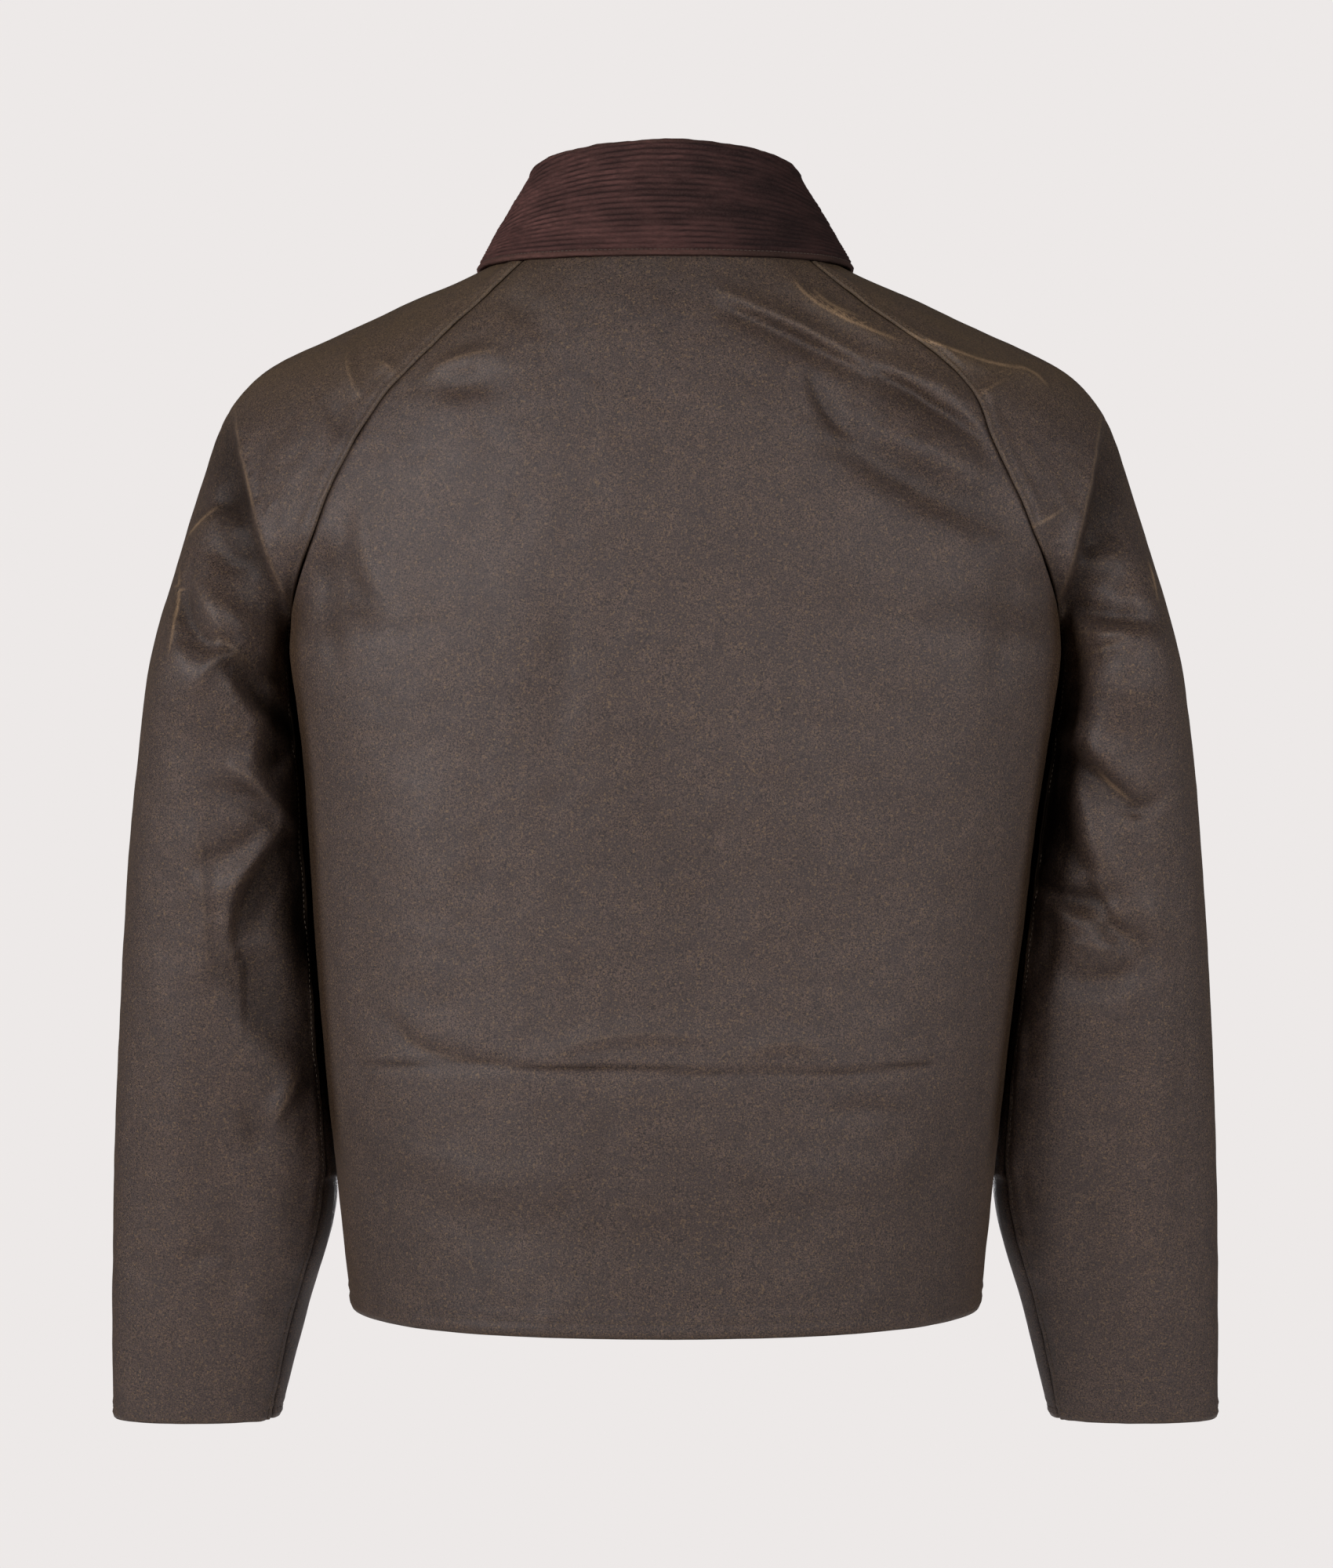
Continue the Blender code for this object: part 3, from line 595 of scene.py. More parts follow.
def press_creases(points, normals, table, face, surface):
    """Add a table's creases to a sheet, where it looks that way."""
    seen = np.stack([-points[..., 0] * face, -points[..., 2]], axis=-1)
    facing = smooth_step((normals[..., 1] * face + 0.02) / 0.45)
    shaded = smooth_step((normals[..., 1] * face + 0.6) / 0.5)
    for row in table.values:
        line, strength = bend(row)
        over, under, peak, worn_and_painted_light = row[6:]
        reach = 3 * max(over, under)
        low = line.min(axis=0) - reach
        high = line.max(axis=0) + reach
        near = np.all((seen > low) & (seen < high), axis=-1) & (shaded > 0)
        if not near.any():
            continue
        best, side, power = nearest_on(line, strength, seen[near])
        width = np.where(side > 0, over, under)
        dark = power * shaded[near]
        power = power * facing[near]
        surface.depth[near] += face * peak * CREASE_STRENGTH * hump(best, width) * power
        surface.crush[near] += 0.16 * abs(peak) * hump(best, 22.0) * power
        surface.rub[near] += 0.35 * worn_and_painted_light * hump(best, width * 0.7) * power
        if peak < 0:
            dark *= 0.055 * abs(peak) + 0.16 * max(0, abs(peak) - 4.0)
            surface.shade[near] += dark * hump(best, width * 0.9)
        if worn_and_painted_light > 0:
            closer = best < np.abs(surface.line_gap[near])
            signed = np.where(side > 0, best, -best)
            surface.line_gap[near] = np.where(closer, signed, surface.line_gap[near])
            faded = worn_and_painted_light * power * hump(best, 5.0)
            surface.line_rub[near] = np.where(closer, faded, surface.line_rub[near])


def uneven(points, size, offset, value):
    """Values of a noise at the points, whose bumps are about the given size in mm."""
    offset = Vector(offset)
    values = [value(Vector(place) / size + offset) for place in points.reshape(-1, 3)]
    return np.array(values).reshape(points.shape[:2])


def crumple(points, size, seed):
    """Small uneven waviness of stiff waxed cloth."""
    return uneven(points, size, (seed * 7.3, seed * 3.1, seed * 5.7),
                  lambda place: noise.fractal(place, 0.8, 2.1, 3))


def ridges(points, size, seed):
    """Sharp-topped unevenness from -0.5 to 0.5, as where stiff cloth has been crushed."""
    return uneven(points, size, (seed * 2.3, seed * 6.1, seed * 4.7),
                  lambda place: 0.5 - abs(noise.noise(place)) * 2)


def along_wave(points, size, seed):
    """Uneven values from -1 to 1 that vary over a seam's length, for its puckers."""
    return uneven(points, size, (seed, seed * 2.7, seed * 1.3), noise.noise)


# ---------------------------------------------------------------- materials
class Nodes:
    """Short names for adding and joining shader nodes in a tree."""

    def __init__(self, tree):
        self.tree = tree

    def add(self, kind, inputs=(), **settings):
        node = self.tree.nodes.new(kind)
        for name, value in settings.items():
            setattr(node, name, value)
        for name, value in dict(inputs).items():
            self.set(node, name, value)
        return node

    def set(self, node, name, value):
        socket = node.inputs[name]
        if isinstance(value, bpy.types.NodeSocket):
            self.tree.links.new(value, socket)
        else:
            socket.default_value = value

    def ramp(self, value, low, high):
        node = self.add("ShaderNodeMapRange", {"Value": value, "From Min": low, "From Max": high})
        return node.outputs["Result"]

    def math(self, operation, first, second):
        node = self.add("ShaderNodeMath", operation=operation)
        self.set(node, 0, first)
        self.set(node, 1, second)
        return node.outputs[0]

    def times(self, first, second):
        return self.math("MULTIPLY", first, second)

    def mix(self, factor, first, second):
        node = self.add("ShaderNodeMix", data_type="RGBA", blend_type="MIX")
        self.set(node, 0, factor)
        self.set(node, 6, first)
        self.set(node, 7, second)
        return node.outputs[2]

    def lay(self, color, mask, amount, tint):
        """A tint laid over a colour, by a share of the mask."""
        return self.mix(self.times(mask, amount), color, tint)

    def place(self):
        return self.add("ShaderNodeTexCoord").outputs["Object"]

    def noise(self, vector, scale, detail=2.0, roughness=0.5):
        node = self.add("ShaderNodeTexNoise", {"Vector": vector, "Scale": scale, "Detail": detail,
                                               "Roughness": roughness})
        return node.outputs["Fac"]


def grain_group():
    """Speckle, fleck and cloud masks that every cloth on the jacket shares."""
    group = bpy.data.node_groups.new("cloth_grain", "ShaderNodeTree")
    for name in ("Speckle Size", "Cloud Size"):
        group.interface.new_socket(name, in_out="INPUT", socket_type="NodeSocketFloat")
    for name in ("Speckle", "Fleck", "Cloud", "Patch"):
        group.interface.new_socket(name, in_out="OUTPUT", socket_type="NodeSocketFloat")
    nodes = Nodes(group)
    given = nodes.add("NodeGroupInput")
    place = nodes.place()
    speckle = nodes.noise(place, given.outputs["Speckle Size"], 3.0, 0.7)
    fleck = nodes.noise(place, nodes.times(given.outputs["Speckle Size"], 0.61), 2.0, 0.6)
    cloud = nodes.noise(place, given.outputs["Cloud Size"], 4.0, 0.6)
    patch = nodes.noise(place, nodes.times(given.outputs["Cloud Size"], 0.23), 2.0, 0.5)
    result = nodes.add("NodeGroupOutput")
    nodes.set(result, "Speckle", nodes.ramp(speckle, 0.38, 0.62))
    nodes.set(result, "Fleck", nodes.ramp(fleck, 0.56, 0.70))
    nodes.set(result, "Cloud", nodes.ramp(cloud, 0.3, 0.7))
    nodes.set(result, "Patch", nodes.ramp(patch, 0.32, 0.68))
    return group


GRAIN = grain_group()


def new_material(name, fixed=()):
    """A new finish, with its nodes and its shader; fixed values go on the shader's own sockets."""
    made = bpy.data.materials.new(name)
    made.use_nodes = True
    nodes = Nodes(made.node_tree)
    shader = made.node_tree.nodes["Principled BSDF"]
    for socket, value in dict(fixed).items():
        nodes.set(shader, socket, value)
    return made, nodes, shader


def grain(nodes, speckle_size, cloud_size):
    node = nodes.add("ShaderNodeGroup", node_tree=GRAIN)
    nodes.set(node, "Speckle Size", speckle_size)
    nodes.set(node, "Cloud Size", cloud_size)
    return node.outputs


def attribute(nodes, name):
    return nodes.add("ShaderNodeAttribute", attribute_name=name).outputs["Fac"]


WAX_DARK = (0.004, 0.0024, 0.0022, 1)
WAX_BLOOM = (0.110, 0.0702, 0.0520, 1)
WAX_CLOUD = (0.026, 0.0172, 0.0150, 1)
WAX_MOTTLE = (0.031, 0.0215, 0.0195, 1)
WAX_FLECK = (0.150, 0.094, 0.048, 1)
# golden of wax wear, also used as painted light over the shoulders and turned-away edges
WORN_AND_PAINTED_LIGHT_GOLD = (0.105, 0.066, 0.030, 1)
WORN_LINE = (0.34, 0.215, 0.115, 1)
FOLD_DARK = (0.004, 0.003, 0.002, 1)
WAX_GLOSS = 0.43         # specular level, but where folds and gaps are dull
PILE_DARK = (0.009, 0.0040, 0.0038, 1)
PILE_LIGHT = (0.118, 0.051, 0.044, 1)
PILE_STREAK = (0.022, 0.0105, 0.0095, 1)
PILE_SPECK = (0.080, 0.046, 0.039, 1)
PILE_WORN = (0.070, 0.045, 0.028, 1)
PILE_GROOVE = (0.009, 0.005, 0.005, 1)


def waxed_cotton():
    made, nodes, shader = new_material("waxed_cotton_finish", {"Specular IOR Level": WAX_GLOSS})
    masks = grain(nodes, 1250.0, 45.0)
    rub = attribute(nodes, "rub")
    shade = attribute(nodes, "shade")
    gap = nodes.math("ABSOLUTE", nodes.math("SUBTRACT", attribute(nodes, "line_gap"), 0.5), 0.0)
    line = nodes.ramp(gap, 1.5 / (2 * LINE_REACH), 0.3 / (2 * LINE_REACH))
    line = nodes.times(line, attribute(nodes, "line_rub"))
    color = nodes.mix(masks["Speckle"], WAX_DARK, WAX_BLOOM)
    color = nodes.lay(color, masks["Cloud"], 0.45, WAX_CLOUD)
    place = nodes.place()
    cockle = nodes.noise(place, 150.0, 3.0, 0.6)
    mottle = nodes.times(nodes.ramp(cockle, 0.42, 0.66), 0.4)
    color = nodes.mix(mottle, color, WAX_MOTTLE)
    color = nodes.lay(color, masks["Fleck"], 0.75, WAX_FLECK)
    # Golden where the wax wears, and painted golden light over the shoulders and turned-away edges.
    worn_and_painted_light = nodes.times(rub, nodes.ramp(masks["Speckle"], -0.5, 1.0))
    worn_and_painted_light = nodes.times(worn_and_painted_light, nodes.ramp(masks["Cloud"], -0.9, 0.9))
    color = nodes.mix(nodes.math("MINIMUM", worn_and_painted_light, 0.85), color, WORN_AND_PAINTED_LIGHT_GOLD)
    line = nodes.times(line, nodes.ramp(masks["Cloud"], -0.2, 1.0))
    line = nodes.times(line, nodes.ramp(masks["Speckle"], -0.6, 0.8))
    color = nodes.mix(nodes.math("MINIMUM", line, 0.8), color, WORN_LINE)
    color = nodes.mix(nodes.math("MINIMUM", shade, 0.92), color, FOLD_DARK)
    crinkle = nodes.math("ABSOLUTE", nodes.math("SUBTRACT", nodes.noise(place, 64.0, 2.0, 0.5), 0.5), 0.0)
    crinkle = nodes.times(crinkle, nodes.ramp(attribute(nodes, "crush"), -0.12, 0.9))
    height = nodes.math("ADD", nodes.times(masks["Speckle"], 0.09), nodes.times(cockle, 0.34))
    height = nodes.math("SUBTRACT", height, nodes.times(crinkle, 2.4))
    bump = nodes.add("ShaderNodeBump", {"Strength": 0.6, "Distance": 0.0012, "Height": height})
    rough = nodes.add("ShaderNodeMapRange", {"Value": masks["Patch"], "To Min": 0.52, "To Max": 0.61})
    dull = nodes.math("MAXIMUM", shade, attribute(nodes, "dull"))
    gloss = nodes.times(nodes.ramp(dull, 0.8, 0.0), WAX_GLOSS)
    nodes.set(shader, "Base Color", color)
    nodes.set(shader, "Roughness", rough.outputs["Result"])
    nodes.set(shader, "Specular IOR Level", gloss)
    nodes.set(shader, "Normal", bump.outputs["Normal"])
    return made


def corduroy():
    made, nodes, shader = new_material("corduroy_finish", {
        "Roughness": 0.92, "Specular IOR Level": 0.12, "Sheen Weight": 0.06,
        "Sheen Roughness": 0.42, "Sheen Tint": (0.55, 0.34, 0.30, 1)})
    masks = grain(nodes, 900.0, 26.0)
    groove = attribute(nodes, "groove")
    place = nodes.place()
    stretched = nodes.add("ShaderNodeMapping", {"Vector": place, "Scale": (0.35, 0.35, 1.5)})
    nap_and_painted_side_light = nodes.ramp(nodes.noise(stretched.outputs["Vector"], 62.0, 5.0, 0.68), 0.42, 0.60)
    side = nodes.add("ShaderNodeSeparateXYZ", {"Vector": place}).outputs["X"]
    # painted light towards the wearer's left side of the collar, added to the pile's patchy tone
    painted_left_light = nodes.ramp(side, -0.045, 0.105)
    nap_and_painted_side_light = nodes.times(nodes.math("ADD", nap_and_painted_side_light, nodes.times(painted_left_light, 1.5)), 0.42)
    streak = nodes.ramp(nodes.noise(stretched.outputs["Vector"], 480.0, 2.0, 0.6), 0.36, 0.64)
    pile = nodes.mix(nap_and_painted_side_light, PILE_DARK, PILE_LIGHT)
    pile = nodes.lay(pile, streak, 0.55, PILE_STREAK)
    pile = nodes.lay(pile, masks["Speckle"], 0.28, PILE_SPECK)
    # painted shade towards the wearer's right side of the collar
    painted_right_shade = nodes.times(nodes.ramp(side, 0.0, -0.075), 0.5)
    pile = nodes.mix(painted_right_shade, pile, PILE_DARK)
    rub = attribute(nodes, "rub")
    pile = nodes.mix(nodes.math("MINIMUM", rub, 0.8), pile, PILE_WORN)
    color = nodes.mix(groove, pile, PILE_GROOVE)
    fibre = nodes.noise(place, 1800.0, 2.0, 0.6)
    bump = nodes.add("ShaderNodeBump", {"Strength": 0.5, "Distance": 0.0005, "Height": fibre})
    nodes.set(shader, "Base Color", color)
    nodes.set(shader, "Normal", bump.outputs["Normal"])
    return made


def thread(name, color):
    made, nodes, shader = new_material(name, {"Roughness": 0.7})
    masks = grain(nodes, 3000.0, 60.0)
    shaded = tuple(channel * 0.6 for channel in color)
    nodes.set(shader, "Base Color", nodes.mix(masks["Speckle"], (*shaded, 1), (*color, 1)))
    return made


def tape_cloth():
    made, nodes, shader = new_material("zip_tape_finish", {"Roughness": 0.8})
    masks = grain(nodes, 1400.0, 40.0)
    place = nodes.place()
    rib = nodes.add("ShaderNodeTexWave", {"Vector": place, "Scale": 260.0, "Distortion": 0.4},
                    bands_direction="Z").outputs["Fac"]
    color = nodes.mix(masks["Speckle"], (0.018, 0.015, 0.012, 1), (0.042, 0.036, 0.030, 1))
    bump = nodes.add("ShaderNodeBump", {"Strength": 0.6, "Distance": 0.0003, "Height": rib})
    nodes.set(shader, "Base Color", color)
    nodes.set(shader, "Normal", bump.outputs["Normal"])
    return made


def antique_brass():
    made, nodes, shader = new_material("antique_brass_finish", {"Metallic": 1.0})
    masks = grain(nodes, 700.0, 220.0)
    color = nodes.mix(masks["Cloud"], (0.15, 0.105, 0.055, 1), (0.31, 0.225, 0.115, 1))
    color = nodes.lay(color, masks["Speckle"], 0.3, (0.16, 0.11, 0.06, 1))
    rough = nodes.add("ShaderNodeMapRange", {"Value": masks["Cloud"], "To Min": 0.46, "To Max": 0.3})
    nodes.set(shader, "Base Color", color)
    nodes.set(shader, "Roughness", rough.outputs["Result"])
    return made


COTTON = waxed_cotton()
CORD = corduroy()
COAT_THREAD = thread("coat_thread_finish", (0.095, 0.066, 0.040))
COLLAR_THREAD = thread("collar_thread_finish", (0.075, 0.052, 0.036))
TAPE = tape_cloth()
BRASS = antique_brass()


# ---------------------------------------------------------------- pieces
def finished_mesh(name, shape):
    mesh = bpy.data.meshes.new(name)
    shape.to_mesh(mesh)
    shape.free()
    return mesh


def add_piece(name, mesh, finish):
    piece = bpy.data.objects.new(name, mesh)
    bpy.context.scene.collection.objects.link(piece)
    mesh.materials.append(finish)
    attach(piece, BODY)
    return piece


def cloth_piece(name, points, wall, finish, masks):
    """A sheet through the points with its wall behind it; masks are values at its points."""
    rows, columns = points.shape[:2]
    shape = bmesh.new()
    shape.loops.layers.uv.new("cloth")
    bmesh.ops.create_grid(shape, x_segments=columns - 1, y_segments=rows - 1, size=1, calc_uvs=True)
    mesh = finished_mesh(name, shape)
    start = np.empty(len(mesh.vertices) * 3)
    mesh.vertices.foreach_get("co", start)
    start = start.reshape(-1, 3)
    column = np.rint((start[:, 0] + 1) / 2 * (columns - 1)).astype(int)
    row = np.rint((1 - start[:, 1]) / 2 * (rows - 1)).astype(int)
    mesh.vertices.foreach_set("co", to_frame(points)[row, column].ravel())
    for mask, values in masks.items():
        layer = mesh.attributes.new(mask, "FLOAT", "POINT")
        layer.data.foreach_set("value", np.clip(values, 0, 1)[row, column].astype(np.float32))
    mesh.update()
    mesh.shade_smooth()
    piece = add_piece(name, mesh, finish)
    thicken = piece.modifiers.new("wall", "SOLIDIFY")
    thicken.thickness = wall * MM
    thicken.offset = -1
    thicken.use_even_offset = False
    return piece


def line_at(points, normals, distance, side):
    """A line down the rows at a distance from one seam, with the outward direction there."""
    line = []
    out = []
    for away, row, outward in zip(edge_distance(points, side), points, normals):
        order = np.argsort(away)
        line.append(points_along(distance, away[order], row[order]))
        out.append(points_along(distance, away[order], outward[order]))
    return np.array(line), np.array(out)


def line_across(points, normals, distance, side):
    """A line along the columns at a distance from the top or bottom edge."""
    turned = points.transpose(1, 0, 2)
    return line_at(turned, normals.transpose(1, 0, 2), distance, side)


STITCH_PITCH = 3.2
STITCH_LENGTH = 2.3
STITCH_WIDTH = 0.5


def stitch_row(name, lines, finish, pitch=STITCH_PITCH, width=STITCH_WIDTH):
    """Short threads lying along lines of points, each a small rounded bead of thread."""
    shape = bmesh.new()
    for line, out in lines:
        lengths = run_lengths(line)
        for place in np.arange(pitch / 2, lengths[-1] - pitch / 2, pitch):
            start, end = (Vector(to_frame(points_along(place + half, lengths, line)))
                          for half in (-STITCH_LENGTH / 2, STITCH_LENGTH / 2))
            normal = Vector(points_along(place, lengths, out)).normalized()
            along = (end - start).normalized()
            aside = normal.cross(along).normalized()
            middle = (start + end) / 2 + normal * width * 0.2 * MM
            turn = Matrix((along, aside, normal)).transposed().to_4x4()
            size = Matrix.Diagonal((STITCH_LENGTH / 2 * MM, width / 2 * MM, width / 2 * MM, 1))
            bmesh.ops.create_icosphere(shape, subdivisions=1, radius=1,
                                       matrix=Matrix.Translation(middle) @ turn @ size)
    mesh = finished_mesh(name, shape)
    mesh.shade_smooth()
    return add_piece(name, mesh, finish)


# Seams: the cloth on top is raised over its turned edge, the cloth under it dips to meet it.
SEAM_LAP = 6.5
LAP_RISE = 0.45
STITCH_SET = 4.0
HEM_STITCH = 9.0
PUCKER_WIDTH = 6.0
CUFF_STITCH = 6.5


def lap_height(away, rise=LAP_RISE, lap=SEAM_LAP):
    """Height of a turned edge: rounded at the edge, dented along its stitching."""
    body = rise * (1 - smooth_step((away - lap) / 8.0))
    rounding = -1.1 * hump(away, 0.7)
    stitch = -0.5 * hump(away - STITCH_SET, 1.1)
    return body + rounding + stitch


def under_height(away):
    """Height of the cloth that runs under a lapped seam."""
    return -1.0 * hump(away, 2.2)


def hem_height(away, stitch_at):
    rise = 0.5 * (1 - smooth_step((away - stitch_at - 2) / 3.0))
    return rise - 0.7 * hump(away - stitch_at, 1.3) - 0.9 * hump(away, 0.8)


CREASE_FADE = 9.0        # mm beside a seam in which the creases die out
SHOULDER_POINT = (232, 78)
SHOULDER_SPREAD = (42, 34)
SHOULDER_ROUNDING = 3.2  # fullness at the point of the shoulder, mm
EDGE_TRIM = 1.0          # off the sheets where they turn away, as their solids' flats lie there
OUTER_SIDE = 262         # only the sleeves' outer sides lie further than this from the middle
GAP_TOP = 205            # drop where the gap between body and sleeves begins
GAP_DARK = 250           # and where it begins to be dark
GAP_END = 570            # and where it opens
GAP_REACH = 250          # furthest from the middle that it lies


def finish_sheet(points, tables, surface, seam_away):
    """Press the creases and waviness into a sheet; gives its points and normals.

    The waviness runs on from sheet to sheet, and the creases fade out beside a seam.
    """
    normals = sheet_normals(points)
    for table, face in tables:
        press_creases(points, normals, table, face, surface)
    edge = smooth_step((0.75 - np.abs(normals[..., 1])) / 0.4)
    held = smooth_step(seam_away / CREASE_FADE)
    surface.depth *= held
    waves = crumple(points, 62.0, 1) + 0.35 * crumple(points, 17.0, 5)
    waves += ridges(points, 30.0, 9) * np.clip(surface.crush, 0, 1) * 1.3 * held
    outside = smooth_step((np.abs(points[..., 0]) - OUTER_SIDE) / 16)
    surface.height += waves * (1 - 0.6 * edge) - EDGE_TRIM * edge * outside
    gap = gap_mask(points, normals)
    drop = -points[..., 2]
    surface.dull += gap * smooth_step((drop - GAP_TOP) / 20)
    surface.shade += 0.5 * gap * smooth_step((drop - GAP_DARK) / 70)
    aside = (np.abs(points[..., 0]) - SHOULDER_POINT[0]) / SHOULDER_SPREAD[0]
    below = (drop - SHOULDER_POINT[1]) / SHOULDER_SPREAD[1]
    surface.height += SHOULDER_ROUNDING * edge * np.exp(-aside ** 2 - below ** 2)
    pressed = points + normals * surface.height[..., None]
    pressed[..., 1] += surface.depth
    return pressed, sheet_normals(pressed)


def gap_mask(points, normals):
    """1 where the body's sides and the sleeves' inner sides lie close together."""
    above = smooth_step((GAP_END + points[..., 2]) / 70)
    aside = smooth_step((np.abs(normals[..., 0]) - 0.88) / 0.09)
    return above * aside * (np.abs(points[..., 0]) < GAP_REACH)


def fold_shade(points, normals):
    """Dark in the deep folds of the sleeves' inner sides."""
    total = np.zeros(points.shape[:2])
    for right, drop, wide, tall, amount in DEEP_FOLDS.values:
        across = (-points[..., 0] - right) / wide
        along = (-points[..., 2] - drop) / tall
        total += amount * np.exp(-across ** 2 - along ** 2)
    return total * smooth_step((normals[..., 1] + 0.6) / 0.5)


def edge_rub(away, reach=2.2, amount=0.5):
    return amount * hump(away, reach)


def seam_shade(away, reach=1.3, amount=0.7):
    return amount * hump(away, reach)


def painted_shoulder_and_edge_light(points, normals):
    """Painted golden light over the shoulders' tops and towards the edges that turn away, where the sheen
    falls off.
    """
    up = smooth_step((normals[..., 2] - 0.25) / 0.55) * smooth_step((150 + points[..., 2]) / 80)
    away = smooth_step((0.62 - np.abs(normals[..., 1])) / 0.6)
    return 0.60 * up + 0.55 * away


POCKET_DROP = 477.0
POCKET_LEFT = -178.0
POCKET_RIGHT = 155.0
POCKET_PUCKER = 1.7      # height of the puckers over the line, mm
POCKET_DENT = 1.0        # depth of the line itself


def pocket_line(points, surface):
    """The sewn line of the inside pocket across the back, with the puckers over it."""
    right = -points[..., 0]
    drop = -points[..., 2]
    dip = 3.5 * smooth_step((-60 - right) / 60) * smooth_step((right - POCKET_LEFT) / 40)
    line = POCKET_DROP - dip * 0.6 + 1.2 * np.sin(right / 41.0) + 0.5 * np.sin(right / 13.0)
    inside = smooth_step((right - POCKET_LEFT) / 14) * smooth_step((POCKET_RIGHT - right) / 10)
    gap = drop - line
    above = np.clip(-gap, 0, None)
    below = np.clip(gap, 0, None)
    wave = 0.55 + 0.3 * np.sin(right / 13.5 + 1.7 * np.sin(right / 31.0)) + 0.25 * np.sin(right / 47.0 + 2.0)
    surface.height += inside * POCKET_PUCKER * wave * np.exp(-(above / 11.0) ** 1.5) * (gap <= 0)
    surface.height += inside * POCKET_PUCKER * wave * hump(below, 2.2) * (gap > 0)
    surface.height -= inside * POCKET_DENT * hump(gap - 3.0, 2.2)
    surface.shade += inside * (0.22 + 0.25 * wave) * hump(gap - 1.3, 1.1)


TUCK = 1.8               # cloth that runs on under a lapped seam, mm
TUCK_DROP = 0.6          # and how far below the lap it lies


def tuck_under(points, normals, masks, side):
    """Run the cloth on under the piece that laps it, past one edge."""
    run = points[:, side] - points[:, 3 if side == 0 else -4]
    run /= np.linalg.norm(run, axis=-1, keepdims=True)
    past = points[:, side] + run * TUCK - normals[:, side] * TUCK_DROP
    order = slice(None) if side == 0 else slice(None, None, -1)
    points = np.concatenate([past[:, None], points][order], axis=1)
    masks = {name: np.concatenate([values[:, [side]], values][order], axis=1)
             for name, values in masks.items()}
    return points, masks


BACK_COLUMNS = 168
FRONT_COLUMNS = 84
SLEEVE_COLUMNS = 164
UNDER_COLUMNS = 44


def half_back(levels, hand):
    return sheet_points(levels, lambda level: body_curve(level, hand, "back"), BACK_COLUMNS // 2,
                        close_start=False)


def make_back():
    levels = levels_between(0, HEM_LEVEL)
    left = half_back(levels, 1)
    right = half_back(levels, -1)
    points = np.concatenate([left[:, ::-1], mirror_side(right, -1)[:, 1:]], axis=1)
    points = trim_seams(soften_rows(points))
    left_away = edge_distance(points, 0)
    right_away = edge_distance(points, -1)
    hem_away = row_distance(points, -1)
    surface = Surface(points)
    surface.height += under_height(left_away) + under_height(right_away) + hem_height(hem_away, HEM_STITCH)
    surface.height += 0.35 * along_wave(points, 5.5, 2.0) * hump(hem_away - HEM_STITCH, PUCKER_WIDTH)
    # golden wear along the hem, and painted golden light over the shoulders and turned-away edges
    surface.rub += edge_rub(hem_away) + painted_shoulder_and_edge_light(points, sheet_normals(points))
    surface.shade += seam_shade(left_away) + seam_shade(right_away)
    drop = -points[..., 2]
    surface.shade += 0.15 * smooth_step((85 - drop) / 60) + 0.09 * smooth_step((drop - 470) / 60)
    pocket_line(points, surface)
    points, normals = finish_sheet(points, [(BACK_CREASES, 1)], surface, np.minimum(left_away, right_away))
    hem = stitch_row("hem_stitching_back", [line_across(points, normals, HEM_STITCH, -1)],
                     COAT_THREAD)
    masks = surface.masks()
    for side in (0, -1):
        points, masks = tuck_under(points, sheet_normals(points), masks, side)
    piece = cloth_piece("back_cloth", points, COAT_WALL, COTTON, masks)
    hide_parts("back")


def side_name(hand):
    return "left" if hand > 0 else "right"


def mirrored(table):
    """The same creases on the other side of the centre line."""
    turned = creases(table.values)
    turned.values[:, 0:6:2] *= -1
    turned.values[:, [6, 7]] = turned.values[:, [7, 6]]
    return turned


def make_front(hand):
    levels = levels_between(0, HEM_LEVEL)
    points = sheet_points(levels, lambda level: body_curve(level, hand, "front", ZIP_GAP / 2),
                          FRONT_COLUMNS)
    points = mirror_side(trim_seams(soften_rows(points)), hand, turned=hand < 0)
    edge, seam = (-1, 0) if hand < 0 else (0, -1)
    edge_away = edge_distance(points, edge)
    seam_away = edge_distance(points, seam)
    hem_away = row_distance(points, -1)
    surface = Surface(points)
    surface.height += (under_height(seam_away) + hem_height(hem_away, HEM_STITCH)
                       + lap_height(edge_away, 0.5))
    pucker = along_wave(points, 5.5, 3.0 + hand)
    surface.height += 0.3 * pucker * hump(hem_away - HEM_STITCH, PUCKER_WIDTH)
    # golden wear along the hem and zip edge, and painted golden light over the shoulders and turned-away
    # edges
    surface.rub += edge_rub(hem_away) + edge_rub(edge_away) + painted_shoulder_and_edge_light(points, sheet_normals(points))
    surface.shade += seam_shade(seam_away)
    surface.dull += hump(seam_away, 5.0)
    table = FRONT_CREASES if hand > 0 else mirrored(FRONT_CREASES)
    points, normals = finish_sheet(points, [(table, -1)], surface, seam_away)
    name = side_name(hand)
    rows = [line_across(points, normals, HEM_STITCH, -1), line_at(points, normals, STITCH_SET, edge)]
    stitching = stitch_row("front_stitching_" + name, rows, COAT_THREAD)
    points, masks = tuck_under(points, normals, surface.masks(), seam)
    piece = cloth_piece("front_cloth_" + name, points, COAT_WALL, COTTON, masks)
    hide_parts("front_" + name)


OTHER_FACE_SHIFT = 12


def other_side(table, shift):
    """The same creases lower or higher, for the face that isn't seen from behind."""
    turned = creases(table.values)
    turned.values[:, 1:6:2] += shift
    turned.values[:, 8] *= 0.8
    return turned


def sleeve_tables(hand):
    """The creases on a sleeve's rear face, and like ones for its front face."""
    return [(SLEEVE_CREASES[hand], 1), (other_side(SLEEVE_CREASES[-hand], OTHER_FACE_SHIFT), -1)]


